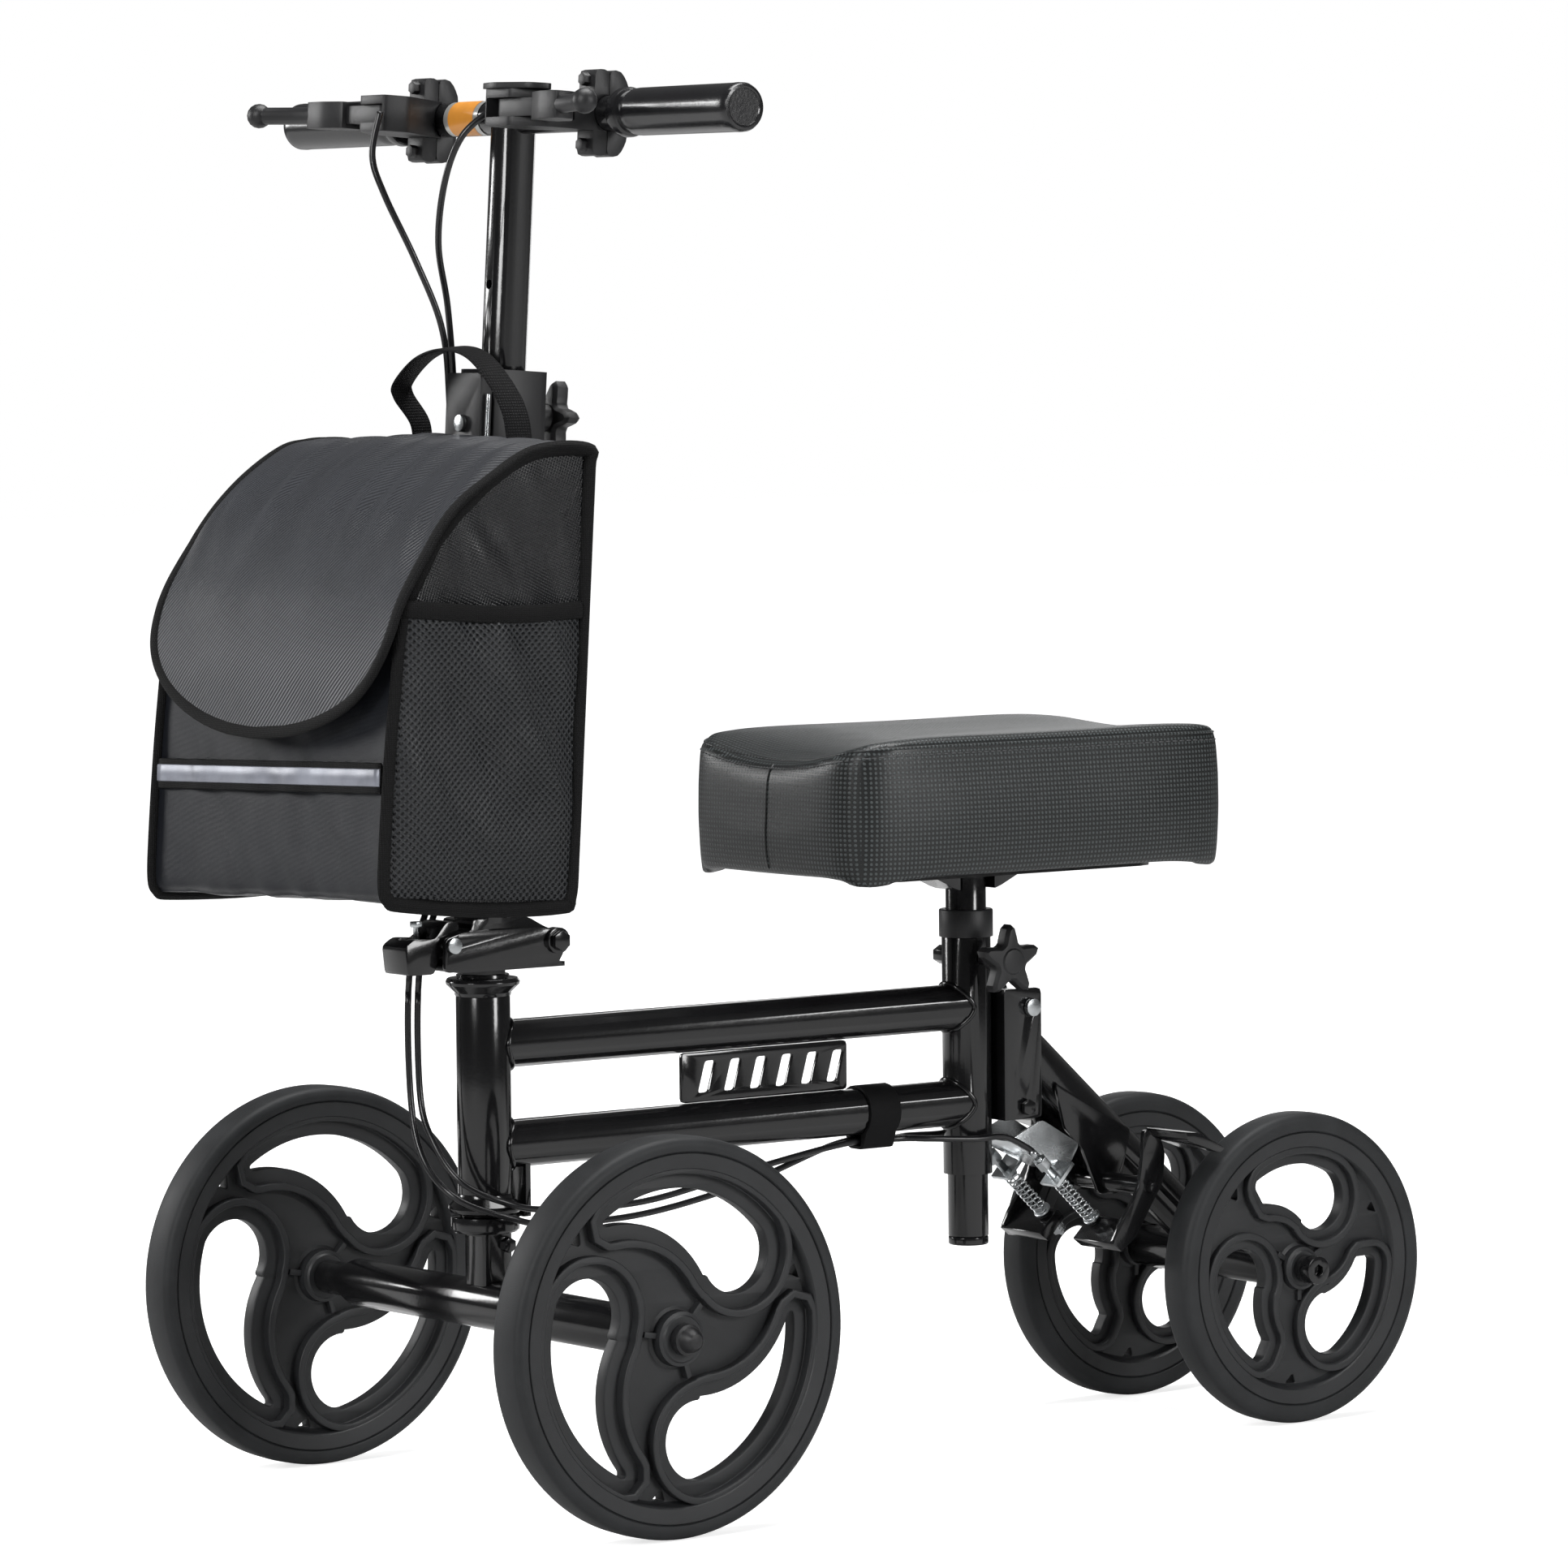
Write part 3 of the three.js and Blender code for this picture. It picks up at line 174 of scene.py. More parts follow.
def woven(name, warp, weft, pitch, height, roughness, angle=0.0, crossed=True, blur=0.0, **gloss):
    """Cloth on a flat unwrapping in metres: crossing threads, or ribs only, with soft clouding."""
    material, tree, shader = new_material(name)
    place = node(tree, "ShaderNodeTexCoord").outputs["UV"]
    turn = node(tree, "ShaderNodeMapping")
    turn.inputs["Rotation"].default_value = (0, 0, angle)
    tree.links.new(place, turn.inputs["Vector"])
    ribs = []
    for direction in ("X", "Y"):
        wave = node(tree, "ShaderNodeTexWave", wave_type="BANDS", bands_direction=direction,
                    Scale=0.3185 / pitch, Distortion=blur)
        tree.links.new(turn.outputs["Vector"], wave.inputs["Vector"])
        ribs.append(wave.outputs["Fac"])
    pattern = ribs[0]
    if crossed:
        mix = node(tree, "ShaderNodeMath", operation="MULTIPLY")
        tree.links.new(ribs[0], mix.inputs[0])
        tree.links.new(ribs[1], mix.inputs[1])
        pattern = mix.outputs[0]
    cloud = node(tree, "ShaderNodeTexNoise", Scale=25.0, Detail=4.0)
    tree.links.new(node(tree, "ShaderNodeTexCoord").outputs["Object"], cloud.inputs["Vector"])
    threads = ramp_between(tree, pattern, weft, warp, 0.1, 0.8)
    shade = node(tree, "ShaderNodeMix", data_type="RGBA", blend_type="MULTIPLY")
    shade.inputs["Factor"].default_value = 1.0
    tree.links.new(threads, shade.inputs["A"])
    tree.links.new(ramp_between(tree, cloud.outputs["Fac"], (0.82,) * 3, (1.0,) * 3), shade.inputs["B"])
    tree.links.new(shade.outputs["Result"], shader.inputs["Base Color"])
    tree.links.new(spread(tree, pattern, roughness * 1.15, roughness * 0.85), shader.inputs["Roughness"])
    bump = node(tree, "ShaderNodeBump", Strength=1.0, Distance=height)
    tree.links.new(pattern, bump.inputs["Height"])
    tree.links.new(bump.outputs["Normal"], shader.inputs["Normal"])
    set_gloss(shader, **gloss)
    return material


def dotted_vinyl(name, colour, pitch, roughness):
    """Vinyl embossed with square rows of small dots over a fine leather grain; the raised dots get a
    lighter base colour as a painted highlight.
    """
    material, tree, shader = new_material(name)
    place = node(tree, "ShaderNodeTexCoord").outputs["UV"]
    heights = []
    for axis in ("X", "Y"):
        wave = node(tree, "ShaderNodeTexWave", wave_type="BANDS", bands_direction=axis, Scale=0.314 / pitch)
        tree.links.new(place, wave.inputs["Vector"])
        heights.append(wave.outputs["Fac"])
    dot = node(tree, "ShaderNodeMath", operation="MULTIPLY")
    tree.links.new(heights[0], dot.inputs[0])
    tree.links.new(heights[1], dot.inputs[1])
    raised = node(tree, "ShaderNodeMapRange", interpolation_type="SMOOTHSTEP", From_Min=0.25, From_Max=0.6)
    tree.links.new(dot.outputs[0], raised.inputs["Value"])
    grain = node(tree, "ShaderNodeTexNoise", Scale=900.0, Detail=4.0)
    tree.links.new(node(tree, "ShaderNodeTexCoord").outputs["Object"], grain.inputs["Vector"])
    total = node(tree, "ShaderNodeMath", operation="MULTIPLY_ADD")
    total.inputs[1].default_value = 0.25
    tree.links.new(grain.outputs["Fac"], total.inputs[0])
    tree.links.new(raised.outputs["Result"], total.inputs[2])
    # painted highlight: the raised dots' base colour goes up to 4.2 times the vinyl colour and the flat
    # between them down to 0.45 times
    tint = ramp_between(tree, raised.outputs["Result"], scaled(colour, 0.45), scaled(colour, 4.2), 0.0, 1.0)
    tree.links.new(tint, shader.inputs["Base Color"])
    gloss_range = spread(tree, grain.outputs["Fac"], roughness * 0.85, roughness * 1.15)
    tree.links.new(gloss_range, shader.inputs["Roughness"])
    bump = node(tree, "ShaderNodeBump", Strength=1.0, Distance=0.0006)
    tree.links.new(total.outputs[0], bump.inputs["Height"])
    tree.links.new(bump.outputs["Normal"], shader.inputs["Normal"])
    set_gloss(shader, specular=0.45)
    return material


STEEL = hard_surface("powder_coat", (0.006, 0.006, 0.0065), 0.17, 420, 0.00005, specular=0.36, coat=0.32)
ZINC = hard_surface("zinc_plate", (0.5, 0.52, 0.53), 0.26, 700, 0.00008, mottle=0.25, metallic=1.0)
PLASTIC = hard_surface("moulded_black", (0.011, 0.011, 0.012), 0.42, 2200, 0.00012, specular=0.42)
WHEEL = hard_surface("moulded_wheel", (0.015, 0.0157, 0.017), 0.46, 1800, 0.0001, specular=0.4)
TYRE = hard_surface("tyre_rubber", (0.017, 0.018, 0.0193), 0.56, 1500, 0.00014, mottle=0.18, specular=0.3)
GRIP = hard_surface("grip_vinyl", (0.008, 0.008, 0.009), 0.24, 500, 0.00008, specular=0.5, coat=0.25)
CABLE = hard_surface("cable_housing", (0.008, 0.008, 0.009), 0.28, 900, 0.00005, specular=0.45)
LABEL_ORANGE = hard_surface("label_orange", (0.62, 0.25, 0.035), 0.35, 600, 0.00003, specular=0.5)
LABEL_SILVER = hard_surface("label_silver", (0.5, 0.5, 0.48), 0.3, 600, 0.00003, metallic=0.6)
FLAP_TWILL = woven("flap_twill", (0.05, 0.053, 0.061), (0.012, 0.013, 0.017), 0.0024, 0.0005, 0.42,
                   angle=0.75, crossed=False, sheen=0.02, specular=0.4)
NYLON = woven("bag_nylon", (0.011, 0.012, 0.016), (0.006, 0.007, 0.01), 0.0006, 0.00008, 0.36, specular=0.2)
DOBBY = woven("side_dobby", (0.02, 0.021, 0.024), (0.003, 0.003, 0.0035), 0.0019, 0.0004, 0.22, angle=0.4,
              specular=0.4)
NET = woven("pocket_net", (0.002, 0.002, 0.0025), (0.024, 0.0255, 0.028), 0.0034, 0.0012, 0.32,
            angle=0.785, blur=0.4, specular=0.3)
BINDING = woven("binding_tape", (0.007, 0.007, 0.008), (0.003, 0.003, 0.003), 0.0012, 0.0003, 0.72,
                specular=0.2)
WEBBING = woven("webbing", (0.009, 0.009, 0.01), (0.003, 0.003, 0.0035), 0.0018, 0.0006, 0.66, specular=0.2)
REFLECTIVE = hard_surface("reflective_strip", (0.22, 0.23, 0.27), 0.38, 1400, 0.00008, mottle=0.3,
                          metallic=0.2)
VINYL = dotted_vinyl("pad_vinyl", (0.015, 0.0175, 0.0178), 0.0031, 0.4)
THREAD = hard_surface("sewing_thread", (0.06, 0.062, 0.064), 0.7, 900, 0.0001)


# ---------- mesh making ----------
def unwrap_flat(mesh):
    """Unwraps each face along its main direction, one unit to the metre."""
    layer = mesh.uv_layers.new(name="flat")
    for face in mesh.polygons:
        facing = [abs(value) for value in face.normal]
        main = facing.index(max(facing))
        across, up = [(1, 2), (0, 2), (0, 1)][main]
        for corner in face.loop_indices:
            point = mesh.vertices[mesh.loops[corner].vertex_index].co
            layer.data[corner].uv = (point[across], point[up])


def piece(name, verts, faces, body, material, smooth=True):
    """Adds a mesh that rides on a body, unwrapped and with its finish."""
    mesh = bpy.data.meshes.new(name)
    mesh.from_pydata([tuple(v) for v in verts], [], faces)
    mesh.validate()
    obj = bpy.data.objects.new(name, mesh)
    bpy.context.collection.objects.link(obj)
    mesh.materials.append(material)
    if smooth:
        mesh.shade_smooth()
    unwrap_flat(mesh)
    if body:
        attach(obj, body)
    return obj


def apply_modifiers(obj):
    """Makes the modified shape the piece's own mesh."""
    evaluated = obj.evaluated_get(bpy.context.evaluated_depsgraph_get())
    obj.data = bpy.data.meshes.new_from_object(evaluated)
    obj.modifiers.clear()


def smooth_path(points, per_span=10, closed=False):
    """Catmull-Rom curve through the points."""
    count = len(points)
    spans = count if closed else count - 1
    path = []
    for i in range(spans):
        if closed:
            p0, p1, p2, p3 = (points[(i + k - 1) % count] for k in range(4))
        else:
            p0, p1 = points[max(i - 1, 0)], points[i]
            p2, p3 = points[i + 1], points[min(i + 2, count - 1)]
        for k in range(per_span):
            t = k / per_span
            path.append(0.5 * ((2 * p1) + (p2 - p0) * t + (2 * p0 - 5 * p1 + 4 * p2 - p3) * t * t
                               + (3 * p1 - p0 - 3 * p2 + p3) * t * t * t))
    if not closed:
        path.append(points[-1].copy())
    return path


def swept(path, section, closed=False, lay=None):
    """Sweeps a section of (across, out) pairs along a path; lay fixes the section's across direction."""
    verts, faces = [], []
    count, sides = len(path), len(section)
    side = None
    for i, point in enumerate(path):
        ahead = path[(i + 1) % count] if closed or i < count - 1 else path[i]
        behind = path[i - 1] if closed or i > 0 else path[i]
        along = (ahead - behind).normalized()
        if lay is not None:
            wanted = lay[i] if isinstance(lay, list) else lay
        elif side is not None:
            wanted = side
        else:
            wanted = Vector((0, 0, 1)) if abs(along.z) < 0.9 else Vector((1, 0, 0))
        side = (wanted - along * wanted.dot(along)).normalized()
        out = along.cross(side)
        verts += [point + side * a + out * b for a, b in section]
    rings = count if closed else count - 1
    for i in range(rings):
        for k in range(sides):
            a, b = i * sides + k, i * sides + (k + 1) % sides
            c, d = ((i + 1) % count) * sides + (k + 1) % sides, ((i + 1) % count) * sides + k
            faces.append((a, b, c, d))
    if not closed:
        faces.append(tuple(range(sides))[::-1])
        faces.append(tuple(range((count - 1) * sides, count * sides)))
    return verts, faces


def round_section(radius, sides=12, flatten=1.0):
    return [(radius * math.cos(k * math.tau / sides), radius * flatten * math.sin(k * math.tau / sides))
            for k in range(sides)]


def flat_section(width, thickness):
    """Flat tape with rounded edges."""
    half, edge = width / 2, thickness / 2
    return [(half, 0), (half - edge, edge), (0, edge * 1.1), (edge - half, edge), (-half, 0),
            (edge - half, -edge), (0, -edge * 1.1), (half - edge, -edge)]


def tube(name, path, radius, body, material, closed=False, sides=14):
    verts, faces = swept(path, round_section(radius, sides), closed)
    return piece(name, verts, faces, body, material)


def tape(name, path, width, thickness, lay, body, material, closed=False):
    verts, faces = swept(path, flat_section(width, thickness), closed, lay)
    return piece(name, verts, faces, body, material)


def lathe(profile, steps=96):
    """Turns (radius, x) pairs about the X axis, in millimetres; returns vertices and faces."""
    verts, faces = [], []
    count = len(profile)
    for i in range(steps):
        angle = math.tau * i / steps
        verts += [Vector((x, r * math.cos(angle), r * math.sin(angle))) * MM for r, x in profile]
    for i in range(steps):
        for k in range(count - 1):
            a, b = i * count + k, i * count + k + 1
            c, d = ((i + 1) % steps) * count + k + 1, ((i + 1) % steps) * count + k
            faces.append((a, b, c, d))
    return verts, faces


def grid(columns, rows, place):
    """Surface of place(i, j) for i in 0..columns and j in 0..rows."""
    verts = [place(i, j) for i in range(columns + 1) for j in range(rows + 1)]
    step = rows + 1
    faces = [(i * step + j, (i + 1) * step + j, (i + 1) * step + j + 1, i * step + j + 1)
             for i in range(columns) for j in range(rows)]
    return verts, faces


def stamped(outlines, half_depth, bevel):
    """Solid in the Y-Z plane with rounded edges: the first outline is outside, the rest are holes."""
    curve = bpy.data.curves.new("outline", "CURVE")
    curve.dimensions = "2D"
    curve.fill_mode = "BOTH"
    curve.extrude = (half_depth - bevel) * MM
    curve.bevel_depth = bevel * MM
    curve.bevel_resolution = 2
    for loop in outlines:
        spline = curve.splines.new("POLY")
        spline.points.add(len(loop) - 1)
        for point, (y, z) in zip(spline.points, loop):
            point.co = (y * MM, z * MM, 0, 1)
        spline.use_cyclic_u = True
    holder = bpy.data.objects.new("outline", curve)
    bpy.context.collection.objects.link(holder)
    bpy.context.view_layer.update()
    mesh = bpy.data.meshes.new_from_object(holder.evaluated_get(bpy.context.evaluated_depsgraph_get()))
    verts = [Vector((v.co.z, v.co.x, v.co.y)) for v in mesh.vertices]
    faces = [tuple(face.vertices) for face in mesh.polygons]
    bpy.data.objects.remove(holder)
    bpy.data.curves.remove(curve)
    bpy.data.meshes.remove(mesh)
    return verts, faces


def merged(*parts):
    verts, faces = [], []
    for part_verts, part_faces in parts:
        start = len(verts)
        verts += part_verts
        faces += [tuple(index + start for index in face) for face in part_faces]
    return verts, faces


def shading_group():
    """Node group that smooths round surfaces and keeps corners crisp."""
    group = bpy.data.node_groups.new("crisp_corners", "GeometryNodeTree")
    group.interface.new_socket("Geometry", in_out="INPUT", socket_type="NodeSocketGeometry")
    group.interface.new_socket("Geometry", in_out="OUTPUT", socket_type="NodeSocketGeometry")
    start, end = group.nodes.new("NodeGroupInput"), group.nodes.new("NodeGroupOutput")
    faces, edges = (group.nodes.new("GeometryNodeSetShadeSmooth") for _ in range(2))
    edges.domain = "EDGE"
    edges.inputs["Shade Smooth"].default_value = False
    angle = group.nodes.new("GeometryNodeInputMeshEdgeAngle")
    sharp = group.nodes.new("FunctionNodeCompare")
    sharp.operation = "GREATER_THAN"
    sharp.inputs["B"].default_value = math.radians(32)
    group.links.new(start.outputs[0], faces.inputs["Geometry"])
    group.links.new(faces.outputs["Geometry"], edges.inputs["Geometry"])
    group.links.new(angle.outputs["Unsigned Angle"], sharp.inputs["A"])
    group.links.new(sharp.outputs["Result"], edges.inputs["Selection"])
    group.links.new(edges.outputs["Geometry"], end.inputs[0])
    return group


CRISP = shading_group()


def crisp(obj, edge=0.0):
    """Welds, softens corners by edge metres and shades an angular piece."""
    weld = obj.modifiers.new("weld", "WELD")
    weld.merge_threshold = 0.00002
    if edge:
        bevel = obj.modifiers.new("corners", "BEVEL")
        bevel.width = edge
        bevel.segments = 2
        bevel.limit_method = "ANGLE"
        bevel.angle_limit = math.radians(38)
    shade = obj.modifiers.new("shade", "NODES")
    shade.node_group = CRISP


def finish_node(name, material, edge=0.0):
    """Gives a CAD node its finish and soft corners."""
    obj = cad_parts[name]
    for slot in obj.material_slots:
        slot.link = "OBJECT"
        slot.material = material
    crisp(obj, edge)


# ---------- camera ----------
def add_camera():
    """Camera low ahead of the scooter's left side, with a long lens."""
    azimuth, elevation, roll = (math.radians(a) for a in (52.4728, 3.0978, -0.5035))
    back = Vector((math.sin(azimuth) * math.cos(elevation), -math.cos(azimuth) * math.cos(elevation),
                   math.sin(elevation)))
    level = Vector((math.cos(azimuth), math.sin(azimuth), 0))
    upright = back.cross(level)
    right = level * math.cos(roll) + upright * math.sin(roll)
    up = upright * math.cos(roll) - level * math.sin(roll)
    data = bpy.data.cameras.new("camera")
    data.sensor_width = 36
    data.lens = 170.2
    data.shift_x = -0.0506
    data.shift_y = -0.0466
    data.clip_end = 100
    camera = bpy.data.objects.new("camera", data)
    bpy.context.collection.objects.link(camera)
    turn = Matrix((right, up, back)).transposed().to_4x4()
    camera.matrix_world = Matrix.Translation((3.88002, -2.9448, 0.7569)) @ turn
    bpy.context.scene.camera = camera


add_camera()


# ---------- wheels ----------
def arc(cx, cy, radius, start, end, count):
    return [(cx + radius * math.cos(start + (end - start) * i / count),
             cy + radius * math.sin(start + (end - start) * i / count)) for i in range(count + 1)]


def comma(wheel, turn):
    """Outline of one opening: the rim, a round end, the back of the next spoke and a narrow tail."""
    rim, round_radius, round_angle = wheel["rim"], wheel["round_radius"], wheel["round_angle"]
    spoke_radius, spoke_x, spoke_y = wheel["spoke"]
    tail_angle, tail_radius = wheel["tail_angle"], wheel["tail_radius"]
    round_x = (rim - round_radius) * math.cos(round_angle)
    round_y = (rim - round_radius) * math.sin(round_angle)
    tail_x = (rim - tail_radius) * math.cos(tail_angle)
    tail_y = (rim - tail_radius) * math.sin(tail_angle)
    to_spoke = math.atan2(spoke_y - round_y, spoke_x - round_x)
    spoke_end = math.atan2(tail_y - spoke_y, tail_x - spoke_x)
    round_end = to_spoke if to_spoke < round_angle else to_spoke - math.tau
    spoke_start = to_spoke + math.pi
    if spoke_start > math.pi:
        spoke_start -= math.tau
    points = arc(0, 0, rim, tail_angle, round_angle, 40)
    points += arc(round_x, round_y, round_radius, round_angle, round_end, 32)
    points += arc(spoke_x, spoke_y, spoke_radius, spoke_start, spoke_end, 32)
    points += arc(tail_x, tail_y, tail_radius, tail_angle + math.pi * 0.6, tail_angle + 0.25, 8)
    c, s = math.cos(turn), math.sin(turn)
    return [(x * c - y * s, x * s + y * c) for x, y in points]


def spaced(loop, step):
    """The same loop with points at even spacing."""
    result = []
    carry = 0.0
    for (x0, y0), (x1, y1) in zip(loop, loop[1:] + loop[:1]):
        length = math.hypot(x1 - x0, y1 - y0)
        while carry < length:
            t = carry / length
            result.append((x0 + (x1 - x0) * t, y0 + (y1 - y0) * t))
            carry += step
        carry -= length
    return result


def grown(loop, distance, limit):
    """Loop pushed outwards, kept inside a circle of radius limit, with folded-over points dropped."""
    points = spaced(loop, 2.0)
    count = len(points)
    area = sum(a[0] * b[1] - a[1] * b[0] for a, b in zip(points, points[1:] + points[:1]))
    sign = 1 if area > 0 else -1
    result = []
    for i in range(count):
        (x0, y0), (x1, y1) = points[i - 1], points[(i + 1) % count]
        length = math.hypot(x1 - x0, y1 - y0)
        nx, ny = sign * (y1 - y0) / length, -sign * (x1 - x0) / length
        x, y = points[i][0] + nx * distance, points[i][1] + ny * distance
        reach = math.hypot(x, y)
        if reach > limit:
            x, y = x * limit / reach, y * limit / reach
        nearest = min(math.hypot(x - a, y - b) for a, b in points)
        if reach > limit or nearest > distance - 0.6:
            result.append((x, y))
    return result


def triangle(angle, radius, size):
    """Small rounded triangle pointing inwards near the rim."""
    outer, half = radius + size * 0.45, size * 0.9
    corners = [(outer, -half), (outer, half), (radius - half, size * 0.35)]
    points = []
    for i, corner in enumerate(corners):
        before, after = Vector(corners[i - 1]), Vector(corners[(i + 1) % 3])
        here = Vector(corner)
        points += [here + (before - here) * 0.2, here + (after - here) * 0.2]
    c, s = math.cos(angle), math.sin(angle)
    return [(p.x * c - p.y * s, p.x * s + p.y * c) for p in points]


def make_wheel(row, side, wheel, centre):
    radius, half, rim, hub = wheel["radius"], wheel["half"], wheel["rim"], wheel["hub"]
    wall = wheel["wall"]
    tyre_start = wall + 10
    tyre = [(tyre_start, half - 0.6), (tyre_start + 0.6, half - 1.6), (tyre_start + 1.6, half - 0.4),
            (radius - 6, half), (radius - 3.2, half - 0.6), (radius - 1.2, half - 2.4),
            (radius - 0.3, half - 5), (radius, 0)]
    tyre += [(r, -x) for r, x in reversed(tyre[:-1])]
    flank = [(wall - 3.6, 4.6), (wall - 2.2, 5.6), (wall - 1, 7.4), (wall, half - 3),
             (wall + 1, half - 1.8), (wall + 5, half - 1.3), (tyre_start, half - 0.9)]
    rim_profile = [(r, -x) for r, x in reversed(flank)] + flank
    openings = [comma(wheel, math.tau * i / 3) for i in range(3)]
    holes = [triangle(math.radians(a), wheel["hole_radius"], wheel["hole"]) for a in wheel["hole_angles"]]
    disc = arc(0, 0, wall + 1, 0, math.tau, 120)[:-1]
    web = stamped([disc] + [grown(o, 1.0, rim + 0.5) for o in openings] + holes, 5, 1.0)
    parts = [lathe(rim_profile, 128), web]
    ridge = wheel["ridge"]
    for opening in openings:
        outer = grown(opening, ridge + 1.5, wall + 1)
        inner = grown(opening, ridge - 1.5, wall - 1.5)
        parts.append(stamped([outer, inner], half - 2.6, 1.0))
    bore = wheel["bore"]
    hub_profile = [(bore, -half), (hub - 3, -half), (hub - 2, -half + 1.2), (hub, -half + 1.8),
                   (hub + 0.6, -6), (hub + 5, -4), (hub + 5, 4), (hub + 0.6, 6), (hub, half - 1.8),
                   (hub - 2, half - 1.2), (hub - 3, half), (bore + 2.2, half), (bore + 1.6, half - 1.4),
                   (bore, half - 1.4), (bore, -half)]
    parts.append(lathe(hub_profile, 64))
    for angle in wheel["ribs"]:
        c, s = math.cos(math.radians(angle)), math.sin(math.radians(angle))
        reach = hub + wheel["rib"]
        rib = [(hub * c - 1.3 * s, hub * s + 1.3 * c), (hub * c + 1.3 * s, hub * s - 1.3 * c),
               (reach * c + 1.3 * s, reach * s - 1.3 * c), (reach * c - 1.3 * s, reach * s + 1.3 * c)]
        parts.append(stamped([rib], half - 4.5, 0.5))
    place = Matrix.Translation(centre)
    halves = (("core", merged(*parts), WHEEL), ("tyre", lathe(tyre, 160), TYRE))
    for label, (verts, faces), finish in halves:
        name, body = f"{row}_rolling_{side}_{label}", f"{row}_wheel_{side}"
        made = piece(name, [place @ v for v in verts], faces, body, finish)
        crisp(made)
        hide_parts(body)


# millimetres, radians for round_angle and tail_angle, degrees for the ribs and the small holes
FRONT = dict(radius=125, half=14.5, rim=93, hub=17, bore=6.3, wall=104.5,
             round_radius=25, round_angle=0.794, spoke=(71, -39.3, 2.7), tail_angle=2.16, tail_radius=2.5,
             ridge=12, ribs=(170, 48, 288), rib=9, hole_angles=(137, 19, 262), hole_radius=99, hole=8)
REAR = dict(radius=105.7, half=12.5, rim=71, hub=14.5, bore=5.3, wall=82,
            round_radius=21.5, round_angle=1.15, spoke=(42.5, -26, 2.5), tail_angle=2.05, tail_radius=6,
            ridge=9, ribs=(150, 30, 270), rib=7, hole_angles=(135, 27, 265), hole_radius=76.5, hole=7)
for side, sign in SIDES:
    make_wheel("front", side, FRONT, at(sign * FRONT_TRACK, 0, FRONT["radius"]))
    make_wheel("rear", side, REAR, at(sign * REAR_TRACK, REAR_AXLE_Y, REAR["radius"]))


# ---------- grips ----------
# flange, neck, long hand part and closed end, as (radius, distance from the middle of the bar)
GRIP_PROFILE = [(11.3, 120), (14.2, 120), (15.2, 120.8), (15.7, 122.4), (15.7, 126.6), (15.1, 128.2),
                (13.4, 129.4), (13.2, 132), (13.9, 134), (14.7, 136.4), (14.9, 140), (15, 180), (15.1, 236),
                (15.3, 240), (15.1, 244), (14.2, 245.6), (12.6, 246), (11.6, 245.6), (11.2, 244.9),
                (0.01, 244.9)]


def make_grip(side, sign):
    verts, faces = lathe(GRIP_PROFILE, 72)
    lift = on_column(0, 0, BAR_HEIGHT)
    turn = Matrix.Rotation(-COLUMN_LEAN, 4, "X")
    if sign < 0:
        faces = [face[::-1] for face in faces]
    placed = [turn @ Vector((v.x * sign, v.y, v.z)) + lift for v in verts]
    made = piece(f"grip_sleeve_{side}", placed, faces, "stem", GRIP)
    crisp(made)
    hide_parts(f"grip_{side}")


for side, sign in SIDES:
    make_grip(side, sign)


# ---------- bag ----------
# side view of the bag as (v, s): over the top, down the front, along the bottom and up the back
BAG_PROFILE = [(-23, 306), (-48, 306.5), (-75, 299), (-108, 275), (-133, 247), (-150, 216), (-158, 192),
               (-161, 150), (-163, 110), (-164, 60), (-163.5, 34), (-160, 26), (-150, 23), (-90, 20.5),
               (-32, 23), (-24, 29), (-23, 60), (-23, 150), (-23, 240), (-23, 296)]
BAG_MIDDLE = (-92, 158)


def folds(v, s, seed, size=1.0):
    """Soft slanting folds of cloth, in millimetres."""
    across = (v * 0.8 + s * 0.55) / 34
    along = (s * 0.8 - v * 0.55) / 110
    return size * (noise.fractal(Vector((across, along, seed)), 1.0, 2.0, 3) * 1.6)


def side_bulge(v, s, sign):
    """How far the bag's side stands out from its edge plane."""
    reach = max(0.0, 1 - ((v - BAG_MIDDLE[0]) / 70) ** 2) * max(0.0, 1 - ((s - BAG_MIDDLE[1]) / 142) ** 2)
    return reach ** 0.6 * (4.0 + folds(v, s, 4.0 * sign, 4.4))


def bag_outline(per_span=6):
    loop = smooth_path([Vector((v, s, 0)) for v, s in BAG_PROFILE], per_span, closed=True)
    return [(p.x, p.y) for p in loop]


def sag(x, v, s):
    """How far the front of the loaded bag hangs down, more on the rider's right."""
    front = unit((-v - 60) / 100)
    low = unit((230 - s) / 130)
    return -8.0 * front * low * (BAG_HALF_WIDTH - x) / (2 * BAG_HALF_WIDTH)


def on_bag(x, v, s):
    return on_column(x, v, s + sag(x, v, s))


